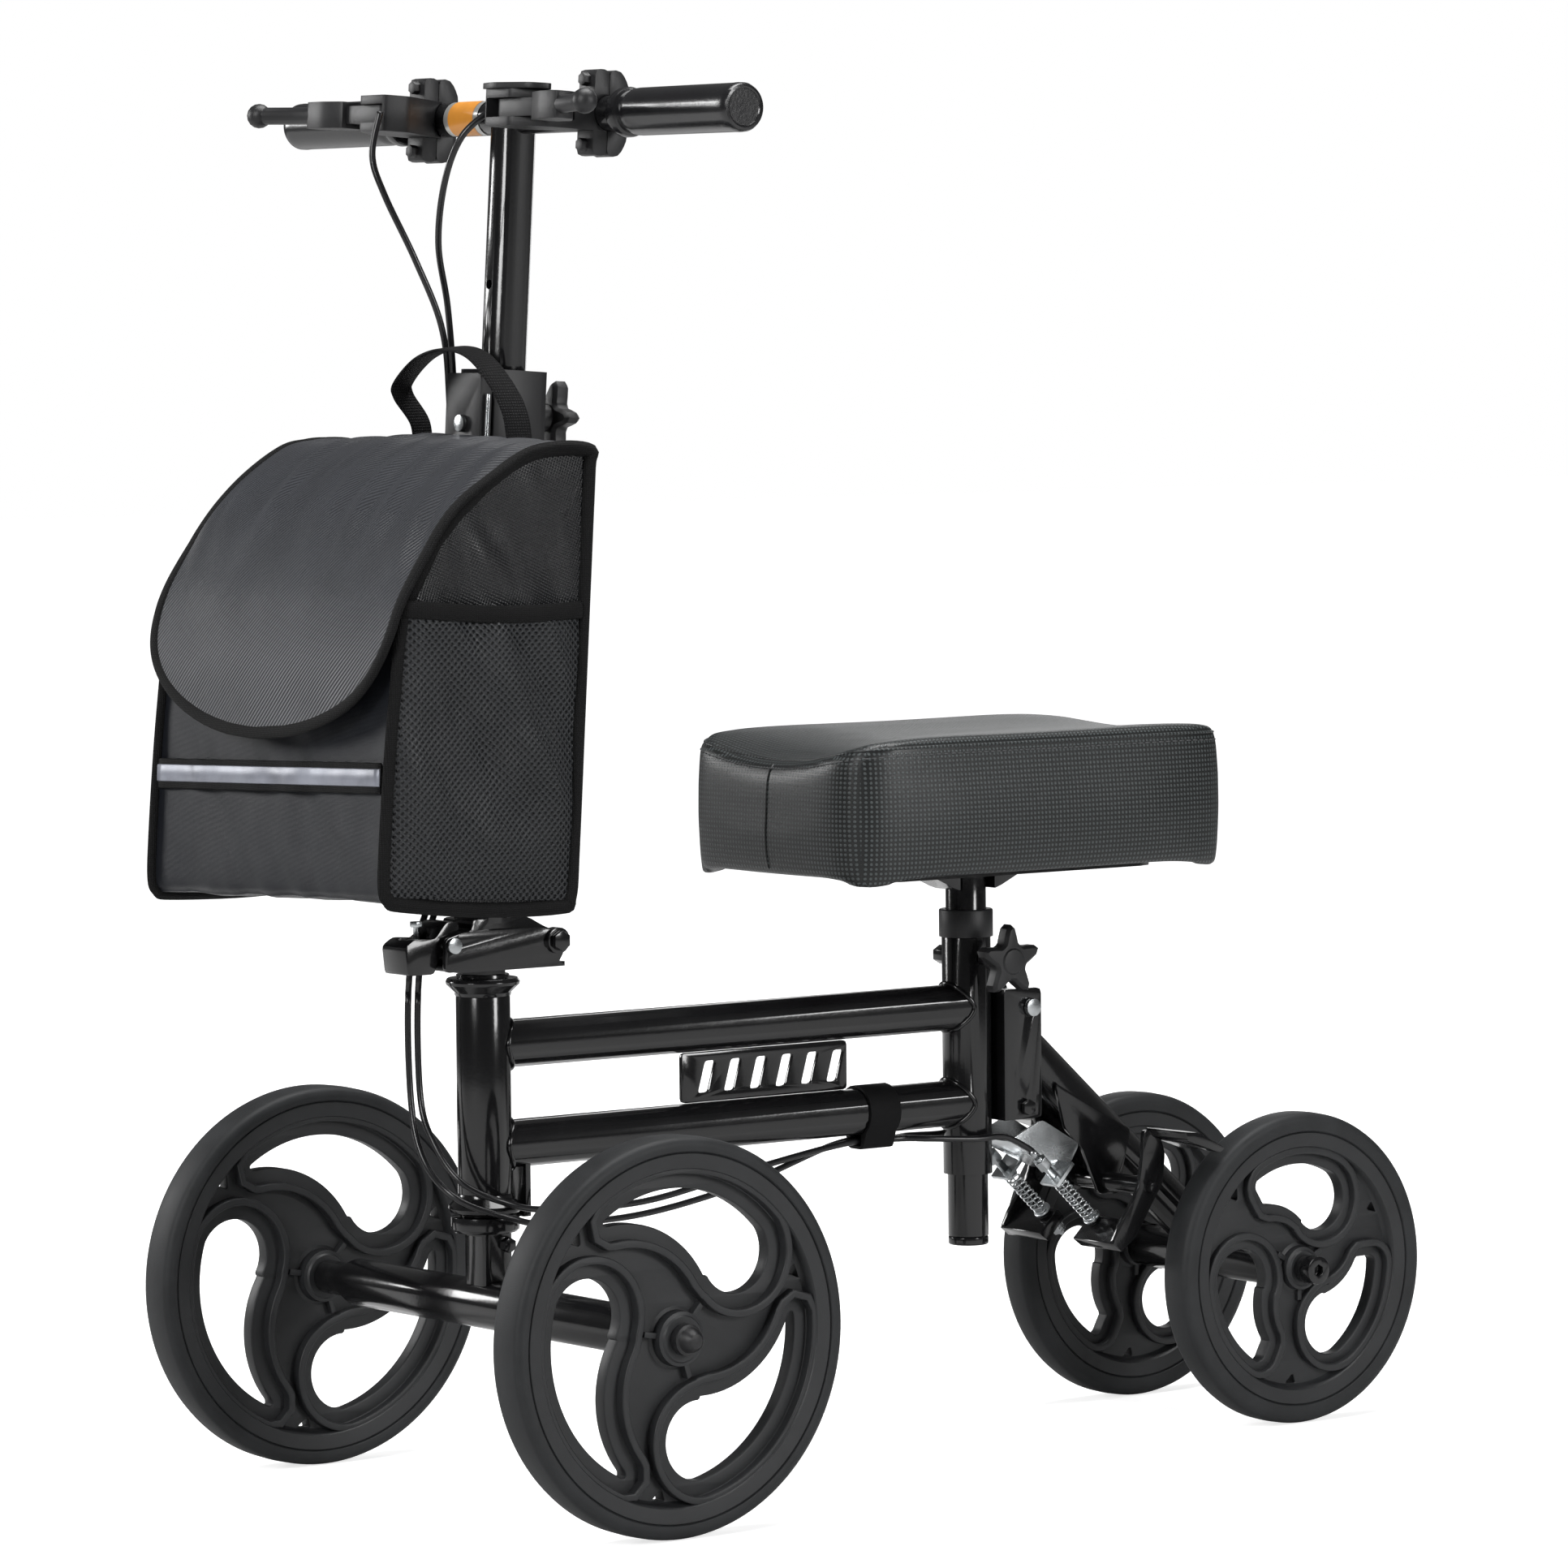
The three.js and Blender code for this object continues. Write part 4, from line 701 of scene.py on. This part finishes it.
def make_bag():
    outline = bag_outline()
    count, columns = len(outline), 36
    outward = []
    for i in range(count):
        (v0, s0), (v1, s1) = outline[i - 1], outline[(i + 1) % count]
        length = math.hypot(v1 - v0, s1 - s0)
        outward.append(((s1 - s0) / -length, (v1 - v0) / length))

    def wrap(i, j):
        v, s = outline[i % count]
        nv, ns = outward[i % count]
        x = -BAG_HALF_WIDTH + 2 * BAG_HALF_WIDTH * j / columns
        middle = max(0.0, 1 - (x / BAG_HALF_WIDTH) ** 2) ** 0.5
        out = middle * (1.5 + folds(x, s + v, 2.0, 1.6))
        if v > -25:
            out = min(out, 0.5) - 1.0
        return on_bag(x, v + nv * out, s + ns * out)

    verts, faces = grid(count, columns, wrap)
    shell = piece("bag_wrap", verts, faces, "bag", NYLON)
    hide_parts("bag_body")
    for side, sign in SIDES:
        rings = 22

        def panel(i, j, sign=sign):
            v, s = outline[i % count]
            k = 1 - j / rings
            v, s = BAG_MIDDLE[0] + (v - BAG_MIDDLE[0]) * k, BAG_MIDDLE[1] + (s - BAG_MIDDLE[1]) * k
            return on_bag(sign * (BAG_HALF_WIDTH + side_bulge(v, s, sign)), v, s)

        verts, faces = grid(count, rings, panel)
        cloth = piece(f"bag_side_{side}", verts, faces, "bag", DOBBY)
        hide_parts("bag_body")
        edge = [on_bag(sign * (BAG_HALF_WIDTH + 1.2), v, s) for v, s in outline]
        lays = [column_offset(0, nv, ns).normalized() for nv, ns in outward]
        binding = tape(f"bag_binding_{side}", edge, 9.5 * MM, 5.5 * MM, lays, "bag", BINDING,
                       closed=True)
        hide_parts("bag_body")
        make_pocket(side, sign)


def pocket_top(v):
    """Height of the mesh pocket's mouth, which hangs a little in the middle."""
    return 211 + (v + 32) * 0.03 - 2.5 * math.sin(math.pi * (v + 152) / 120)


def make_pocket(side, sign):
    columns, rows = 30, 36

    def net(i, j):
        v = -160.5 + 134 * i / columns
        s = 27 + (pocket_top(v) - 27) * j / rows
        rim = min(1.0, min(i, columns - i, j) / 3)
        belly = math.sin(math.pi * i / columns) * (0.35 + 0.65 * j / rows)
        out = 1.0 + rim * (1.6 + 2.4 * belly + abs(folds(v, s, 9.0 + sign, 0.8)))
        return on_bag(sign * (BAG_HALF_WIDTH + side_bulge(v, s, sign) + out), v, s)

    verts, faces = grid(columns, rows, net)
    piece(f"pocket_net_{side}", verts, faces, "bag", NET)
    mouth = [Vector(net(i, rows)) for i in range(columns + 1)]
    band = [p + column_offset(0, 0, 1) * -4 + Vector((sign * 0.0012, 0, 0)) for p in mouth]
    tape(f"pocket_band_{side}", band, 11 * MM, 2.4 * MM, UP_COLUMN, "bag", BINDING)


make_bag()

FLAP_PATH = [(-31, 309.5), (-45, 309.8), (-60, 308), (-80, 302), (-112, 279), (-138, 250), (-156.5, 217),
             (-166, 190), (-172, 160), (-173.5, 123)]


def flap_half_width(s):
    """Half width of the flap at height s: full to the shoulder, then a round tongue."""
    shoulder, tip = 196, FLAP_PATH[-1][1]
    if s >= shoulder:
        return FLAP_HALF_WIDTH
    drop = (shoulder - s) / (shoulder - tip)
    return FLAP_HALF_WIDTH * max(0.0, 1 - drop ** 2.3) ** 0.5


def make_flap():
    path = smooth_path([Vector((v, s, 0)) for v, s in FLAP_PATH], 12)
    rows = []
    for i, p in enumerate(path):
        ahead, behind = path[min(i + 1, len(path) - 1)], path[max(i - 1, 0)]
        run = (ahead - behind).normalized()
        rows.append((p.x, p.y, -run.y, run.x))
    columns = 44

    def place(i, j):
        v, s, nv, ns = rows[i]
        half = max(flap_half_width(s), 1.5)
        across = math.sin(math.pi / 2 * (2 * j / columns - 1))
        x = half * across
        top = unit((s - 215) / 80)
        puff = 2.5 * (1 - (x / 140) ** 2)
        pinch = noise.noise(Vector((x / 16 + s / 50, s / 90, 3)))
        crease = top * 4.2 * pinch + 0.9 * noise.noise(Vector((x / 40, s / 40, 7)))
        droop = -2.2 * max(0.0, abs(x) / FLAP_HALF_WIDTH - 0.85) / 0.15 * unit((s - 200) / 40)
        out = puff + crease + droop
        return on_column(x, v - nv * out if nv > 0 else v + nv * out, s + abs(ns) * out)

    last = len(rows) - 1
    verts, faces = grid(last, columns, place)
    flap = piece("flap_cloth", verts, faces, None, FLAP_TWILL)
    thick = flap.modifiers.new("cloth", "SOLIDIFY")
    thick.thickness = FLAP_THICKNESS * MM
    thick.offset = 0
    apply_modifiers(flap)
    edge = [place(i, columns) for i in range(last + 1)] + [place(i, 0) for i in range(last, -1, -1)]
    edge = [p for i, p in enumerate(edge) if i == 0 or (p - edge[i - 1]).length > 0.8 * MM]
    middle = place(last // 2, columns // 2)
    section = round_section(4.6 * MM, 12, 2.6 / 4.6)
    verts, faces = swept(edge, section, False, [(p - middle).normalized() for p in edge])
    binding = piece("flap_binding", verts, faces, None, BINDING)
    for made in (flap, binding):
        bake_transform(made)
        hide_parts("bag_flap")


make_flap()


def make_strip():
    """Reflective strip between two tapes across the bag's front."""
    def front(x, s):
        v = -163.6 - max(0.0, 1 - (x / BAG_HALF_WIDTH) ** 2) ** 0.5 * (1.5 + folds(x, s - 163, 2.0, 1.6))
        return on_bag(x, v - 0.9, s)

    layers = (("strip_backing", 100, 19, 0.0, BINDING), ("strip_silver", 100.3, 11, 0.9, REFLECTIVE))
    for name, s, width, lift, finish in layers:
        path = [front(x, s) + column_offset(0, -lift, 0) for x in range(-127, 128, 6)]
        tape(name, path, width * MM, 1.2 * MM, UP_COLUMN, "bag", finish)


make_strip()


def make_handle():
    """Carrying loop of webbing sewn into the bag's top seam."""
    points = [(-46, -28, 303), (-49, -29, 322), (-56, -38, 339), (-53, -40, 348), (-32, -39, 363),
              (-5, -37.5, 369), (20, -35, 365), (40, -31, 349), (54, -27, 328), (60, -26, 303)]
    path = smooth_path([on_column(*p) for p in points], 8)
    twist = [-0.3 + 0.4 * i / len(path) for i in range(len(path))]
    lays = [column_offset(lean, 1, 0.15).normalized() for lean in twist]
    loop = tape("carry_loop", path, 19 * MM, 1.9 * MM, lays, "bag", WEBBING)
    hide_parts("bag_handle")


make_handle()


# ---------- knee pad ----------
RIM_POINTS = 220


def pad_outline(inset, angle):
    """Point of the pad's rounded rectangle, drawn in by inset, from the pad's middle."""
    c, s = math.cos(angle), math.sin(angle)
    scale = (abs(c) ** PAD_SQUARENESS + abs(s) ** PAD_SQUARENESS) ** (-1 / PAD_SQUARENESS)
    return (PAD_HALF_WIDTH - inset) * c * scale, (PAD_HALF_LENGTH - inset) * s * scale


def pad_point(inset, angle, z):
    x, y = pad_outline(inset, angle)
    return at(x, PAD_MIDDLE.y + y, z)


def pad_shape(around=120):
    """Closed pad: skirt, bulging sides, rolled rim and a trough that dips at the front."""
    def trough(x, y):
        across = max(0.0, 1 - (x / (PAD_HALF_WIDTH - 6)) ** 2)
        dip = max(0.0, (95 - (y + PAD_HALF_LENGTH)) / 95)
        return across ** 0.9 * (7 + 12 * dip ** 1.3)

    def droop(x, y):
        corner = abs(x) / PAD_HALF_WIDTH * abs(y) / PAD_HALF_LENGTH / 0.84
        return 14 * min(1.0, corner) ** 8

    # inset from the outline, height, and how much the corners hang down there
    levels = [(34, PAD_BOTTOM + 4, 0), (12, PAD_BOTTOM + 2, 0), (4.5, PAD_BOTTOM - 0.5, 0.9),
              (2, PAD_BOTTOM + 4, 1), (0.8, PAD_BOTTOM + 14, 0.45), (0, PAD_BOTTOM + 34, 0),
              (0.2, PAD_TOP - 34, 0), (1, PAD_TOP - 16, 0), (1.8, PAD_TOP - 8, 0), (3.2, PAD_TOP - 3, 0),
              (6.5, PAD_TOP - 0.5, 0)] + [(inset, PAD_TOP, 0) for inset in (14, 32, 52, 74)]
    verts, faces = [], []
    for inset, z, hang in levels:
        for i in range(around):
            x, y = pad_outline(inset, math.tau * i / around)
            sink = trough(x, y) * unit((z - TROUGH_FOOT) / (PAD_TOP - TROUGH_FOOT - 4))
            verts.append(at(x, PAD_MIDDLE.y + y, z - sink - hang * droop(x, y)))
    for level in range(len(levels) - 1):
        for i in range(around):
            a, b = level * around + i, level * around + (i + 1) % around
            faces.append((a, b, b + around, a + around))
    faces.append(tuple(range(around))[::-1])
    faces.append(tuple(range((len(levels) - 1) * around, len(levels) * around)))
    return verts, faces


def puff_up(obj, pressure, frames, cap):
    """Crowns a closed cover by cloth simulation with its bottom held, outwards only and at most cap."""
    mesh = obj.data
    rest = [v.co.copy() for v in mesh.vertices]
    held = obj.vertex_groups.new(name="held")
    held.add([i for i, p in enumerate(rest) if p.z < (PAD_BOTTOM + 9) * MM], 1.0, "REPLACE")
    cloth = obj.modifiers.new("cloth", "CLOTH")
    cloth.settings.vertex_group_mass = "held"
    cloth.settings.use_pressure = True
    cloth.settings.uniform_pressure_force = pressure
    cloth.settings.effector_weights.gravity = 0
    cloth.settings.quality = 5
    cloth.point_cache.frame_start = 1
    cloth.point_cache.frame_end = frames
    scene = bpy.context.scene
    for number in range(1, frames + 1):
        scene.frame_set(number)
    evaluated = obj.evaluated_get(bpy.context.evaluated_depsgraph_get())
    moved = [v.co.copy() for v in evaluated.to_mesh().vertices]
    evaluated.to_mesh_clear()
    obj.modifiers.remove(cloth)
    scene.frame_set(1)
    normals = [v.normal.copy() for v in mesh.vertices]
    swell = [min(cap, max(0.0, (end - start).dot(n))) for start, end, n in zip(rest, moved, normals)]
    near = [[] for _ in rest]
    for edge in mesh.edges:
        a, b = edge.vertices
        near[a].append(b)
        near[b].append(a)
    for _ in range(25):
        swell = [(swell[i] + sum(swell[k] for k in near[i])) / (1 + len(near[i])) for i in range(len(rest))]
    for vertex, start, normal, out in zip(mesh.vertices, rest, normals, swell):
        vertex.co = start + normal * out


def make_pad():
    verts, faces = pad_shape()
    pad = piece("pad_cover", verts, faces, None, VINYL)
    remesh = pad.modifiers.new("remesh", "REMESH")
    remesh.mode = "VOXEL"
    remesh.voxel_size = 0.005
    apply_modifiers(pad)
    puff_up(pad, pressure=4.0, frames=20, cap=0.0035)
    subdivide = pad.modifiers.new("smooth", "SUBSURF")
    subdivide.levels = subdivide.render_levels = 1
    apply_modifiers(pad)
    pad.data.materials.clear()
    pad.data.materials.append(VINYL)
    pad.data.shade_smooth()
    while pad.data.uv_layers:
        pad.data.uv_layers.remove(pad.data.uv_layers[0])
    unwrap_flat(pad.data)
    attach(pad, "seat")
    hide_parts("knee_pad")
    return pad


pad = make_pad()


def sew_pad(pad):
    """Top seam round the rim with a row of stitches below it, and the centre seams on both ends."""
    skin = BVHTree.FromObject(pad, bpy.context.evaluated_depsgraph_get())

    def on_skin(point, direction):
        hit = skin.ray_cast(point, direction)
        return hit[0] if hit[0] is not None else point

    rim = []
    for i in range(RIM_POINTS):
        angle = math.tau * i / RIM_POINTS
        outside, target = pad_point(-20, angle, PAD_TOP + 17), pad_point(16, angle, PAD_TOP - 20)
        rim.append(on_skin(outside, (target - outside).normalized()))
    tube("pad_top_seam", rim, SEAM_RADIUS * MM, "seat", VINYL, True, 8)
    inward = [(at(0, PAD_MIDDLE.y, p.z / MM) - p).normalized() for p in rim]
    below = [on_skin(p - n * 15 * MM - Vector((0, 0, 5 * MM)), n) for p, n in zip(rim, inward)]
    stitches = []
    for i in range(len(below)):
        start, end = below[i], below[(i + 1) % len(below)]
        out = -inward[i] * 0.25 * MM
        middle = (start + end) / 2
        stitches.append(swept([start.lerp(middle, 0.1) + out, middle.lerp(end, 0.3) + out],
                              round_section(0.45 * MM, 6)))
    verts, faces = merged(*stitches)
    piece("pad_stitches", verts, faces, "seat", THREAD)
    for name, y, toward in (("front", -260, 1), ("rear", 260, -1)):
        line = [on_skin(at(0, PAD_MIDDLE.y + y, z), Vector((0, toward, 0))) for z in range(392, 464, 4)]
        tube(f"pad_{name}_seam", line, SEAM_RADIUS * MM, "seat", VINYL, False, 8)


sew_pad(pad)


# ---------- cables ----------
SPRING_AXIS = Vector((0, 0.727, -0.687))
ADJUSTER_START = Vector((0, 434, 185.5))


def on_spring_line(distance, x):
    point = ADJUSTER_START + SPRING_AXIS * distance
    return at(x, point.y, point.z)


# from each lever down to the bag's hanger, in column coordinates
FROM_LEVER = {
    "left": [(52, -53, 518), (42, -68, 500), (28, -70, 472), (6, -58, 434), (-16, -34, 396),
             (-28, -19, 350)],
    "right": [(-54, -66, 518), (-55, -70, 490), (-48, -64, 465), (-37, -46, 425), (-33, -27, 385),
              (-33, -19, 345)],
}


def make_cable(side, sign, index):
    """Brake cable in three stretches, one for each joint that it crosses."""
    spread_x = index * CABLE_GAP
    behind_bag = [on_column(-27 - spread_x, -13 - index * 3, height) for height in (280, 120, 30)]
    around_head = [at(-27 - spread_x, -30 - index * 4, 340), at(-24 - spread_x, -33 - index * 4, 262),
                   at(-7 - spread_x, -34 - index * 5, 230 - index * 10),
                   at(16, -28 - index * 5, 206 - index * 9), at(29 + index * 2, -4, 193 - index * 9)]
    under_tube = [at(27 + index * 3, 30, 186 - index * 9), at(20, 110, 184 - index * 8),
                  at(10, 200, 196 - index * 8), at(sign * 3.1, 286, 206.6), at(sign * 3.1, 331, 206.6),
                  at(sign * 13, 350, 206)]
    beside_seat = [at(sign * 21.5, 383, 204), at(sign * 23, 405, 204), on_spring_line(-14, sign * 25.5),
                   on_spring_line(-4.8, sign * BRAKE_LINE_X)]
    upper = [on_column(*p) for p in FROM_LEVER[side]]
    path = smooth_path(upper + behind_bag + around_head + under_tube + beside_seat, 10)
    span = {"upper": (0, 65), "middle": (65, 92), "lower": (92, len(path) - 1)}
    for label, (first, last) in span.items():
        verts, faces = swept(path[first:last + 1], round_section(CABLE_RADIUS * MM, 12))
        made = piece(f"cable_{label}_{side}", verts, faces, None, CABLE)
        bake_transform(made)
        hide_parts(f"brake_cable_{side}")
    ferrule = [on_spring_line(-11, sign * 25.6), on_spring_line(-4.4, sign * BRAKE_LINE_X)]
    tube(f"cable_ferrule_{side}", ferrule, 2.7 * MM, "frame", ZINC)


def make_spring(side, sign):
    x = sign * BRAKE_LINE_X
    turns, start, finish = 9, 22, 58.5
    coil = []
    across, upward = Vector((1, 0, 0)), Vector((0, -SPRING_AXIS.z, SPRING_AXIS.y))
    for i in range(turns * 14 + 1):
        angle = i / 14 * math.tau
        centre = on_spring_line(start + (finish - start) * i / (turns * 14), x)
        coil.append(centre + (across * math.cos(angle) + upward * math.sin(angle)) * SPRING_RADIUS * MM)
    wire = [on_spring_line(distance, x) for distance in (17, 30, 45, 62, 78)]
    for name, path, radius in ((f"spring_coil_{side}", coil, 0.7), (f"brake_wire_{side}", wire, 0.6)):
        verts, faces = swept(path, round_section(radius * MM, 8))
        made = piece(name, verts, faces, None, ZINC)
        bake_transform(made)
        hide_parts(f"brake_spring_{side}")


# spring seat, washer, nut and bolt end: start and end along the wire, radius and number of sides
CLAMP_STEPS = [(58.8, 60.6, 6.2, 24), (74, 76.2, 5.6, 24), (76.2, 81, 5.4, 6), (81, 84.5, 2.6, 12)]


def make_clamp_bolt(side, sign):
    """Hexagon nut, washer and bolt end that hold the brake wire in its arm."""
    x = sign * BRAKE_LINE_X
    parts = []
    for start, end, radius, sides in CLAMP_STEPS:
        path = [on_spring_line(start, x), on_spring_line(end, x)]
        parts.append(swept(path, round_section(radius * MM, sides)))
    verts, faces = merged(*parts)
    crisp(piece(f"brake_clamp_{side}", verts, faces, f"brake_arm_{side}", ZINC), 0.0004)


for index, (side, sign) in enumerate(SIDES):
    make_cable(side, sign, index)
    make_spring(side, sign)
    make_clamp_bolt(side, sign)


# ---------- welds and label ----------
def weld_bead(name, radius, centre_y, height, toward):
    """Bead where a long tube meets an upright one."""
    path = []
    for i in range(72):
        angle = math.tau * i / 72
        x = (TUBE_RADIUS + 0.6) * math.cos(angle)
        reach = math.sqrt(max(0.0, (radius + 0.5) ** 2 - min(x * x, (radius + 0.4) ** 2)))
        wobble = 0.35 * noise.noise(Vector((i * 0.9, height, centre_y)))
        z = height + (TUBE_RADIUS + 0.6 + wobble) * math.sin(angle)
        path.append(at(x, centre_y + toward * (reach + 0.5), z))
    tube(name, path, 1.7 * MM, "frame", STEEL, True, 10)


for level, height in zip(("top", "low"), TUBE_HEIGHTS):
    weld_bead(f"weld_head_{level}", HEAD_RADIUS, 0, height, 1)
    weld_bead(f"weld_seat_{level}", SEAT_RADIUS, SEAT_Y, height, -1)


def make_label():
    """Plain two-tone patch round the front of the bar, without any print."""
    for name, low, high, finish, radius in (("label_base", -63, -25, LABEL_SILVER, BAR_RADIUS + 0.25),
                                         ("label_field", -58, -30, LABEL_ORANGE, BAR_RADIUS + 0.4)):
        def place(i, j):
            angle = math.radians(105 + 150 * j / 24)
            x = low + (high - low) * i / 6
            return on_column(x, radius * math.cos(angle), BAR_HEIGHT + radius * math.sin(angle))
        verts, faces = grid(6, 24, place)
        piece(name, verts, faces, "stem", finish)


make_label()

# ---------- finishes of the CAD nodes ----------
def both(*names):
    """The left and the right node of each name."""
    return [f"{name}_{side}" for name in names for side, _ in SIDES]


FINISHES = {
    STEEL: ["frame", "upper_cup", "lower_cup", "name_plate", "rear_bracket", "bracket_bolt", "rear_fork",
            "seat_clamp_bolt", "seat_post", "pad_plate", "fork", "front_axle", "neck_nut", "fold_base",
            "fold_pivot_bolt", "latch_lever", "column_tube", "stem"] + both("rear_axle_bolt", "brake_arm"),
    ZINC: ["bracket_pin", "brake_bracket", "latch_pin", "latch_screw",
           "hanger_rivet"] + both("cable_adjuster", "bag_wire"),
    PLASTIC: ["bag_hanger", "seat_collar", "seat_knob", "column_sleeve", "column_knob",
              "parking_tab"] + both("axle_cap", "lever_housing", "clamp_shell", "brake_lever"),
    WEBBING: ["cable_strap"],
}
# width of the softened corners in metres, 0.0003 where nothing is said
SOFT_CORNERS = {"seat_knob": 0.0009, "column_knob": 0.0009, "column_sleeve": 0.0008, "parking_tab": 0.0008,
                "latch_lever": 0.0007, "fold_base": 0.0005, "rear_bracket": 0.0005, "bag_hanger": 0.0005}
SOFT_CORNERS.update(dict.fromkeys(both("lever_housing", "clamp_shell"), 0.001))
SOFT_CORNERS.update(dict.fromkeys(both("brake_lever"), 0.0012))
for finish, names in FINISHES.items():
    for name in names:
        finish_node(name, finish, SOFT_CORNERS.get(name, 0.0003))


# ---------- studio ----------
def add_studio():
    verts, faces = grid(2, 2, lambda i, j: Vector((-20 + 20 * i, -20 + 20 * j, 0)))
    mesh = bpy.data.meshes.new("floor")
    mesh.from_pydata([tuple(v) for v in verts], [], faces)
    floor = bpy.data.objects.new("floor", mesh)
    bpy.context.collection.objects.link(floor)
    paper = hard_surface("pale_floor", (0.66, 0.66, 0.66), 0.85, 200, 0.00002, mottle=0.01, specular=0.1)
    shader = paper.node_tree.nodes["Principled BSDF"]
    tree = paper.node_tree
    far = node(tree, "ShaderNodeVectorMath", operation="LENGTH")
    tree.links.new(node(tree, "ShaderNodeTexCoord").outputs["Object"], far.inputs[0])
    fade = node(tree, "ShaderNodeMapRange", From_Min=0.6, From_Max=3.0, To_Min=0.74, To_Max=1.05)
    tree.links.new(far.outputs["Value"], fade.inputs["Value"])
    glow = node(tree, "ShaderNodeMath", operation="MULTIPLY")
    tree.links.new(fade.outputs["Result"], glow.inputs[0])
    tree.links.new(node(tree, "ShaderNodeLightPath").outputs["Is Camera Ray"], glow.inputs[1])
    shader.inputs["Emission Color"].default_value = (1, 1, 1, 1)
    tree.links.new(glow.outputs[0], shader.inputs["Emission Strength"])
    mesh.materials.append(paper)
    # name, place, size in metres and power in watts
    lights = [("key", (1.2, -4.2, 2.4), 1.8, 120), ("left", (-3.4, -2.0, 1.5), 1.2, 55),
              ("right", (3.8, 1.2, 1.6), 1.4, 75), ("top", (0, 0.3, 3.2), 2.4, 110),
              ("back", (-2.7, 2.6, 1.1), 1.5, 7)]
    for name, place, size, power in lights:
        data = bpy.data.lights.new(name, "AREA")
        data.shape = "RECTANGLE"
        data.size = size * 0.7
        data.size_y = size
        data.energy = power
        lamp = bpy.data.objects.new(name, data)
        bpy.context.collection.objects.link(lamp)
        lamp.location = place
        lamp.rotation_euler = (Vector(place) - Vector((0, 0, 0.45))).to_track_quat("Z", "Y").to_euler()
    world = bpy.data.worlds.new("studio")
    bpy.context.scene.world = world
    world.use_nodes = True
    tree = world.node_tree
    background = tree.nodes["Background"]
    background.inputs["Color"].default_value = (1, 1, 1, 1)
    seen = node(tree, "ShaderNodeLightPath")
    tree.links.new(spread(tree, seen.outputs["Is Camera Ray"], 0.1, 1.0), background.inputs["Strength"])
    bpy.context.scene.view_settings.view_transform = "Standard"


add_studio()
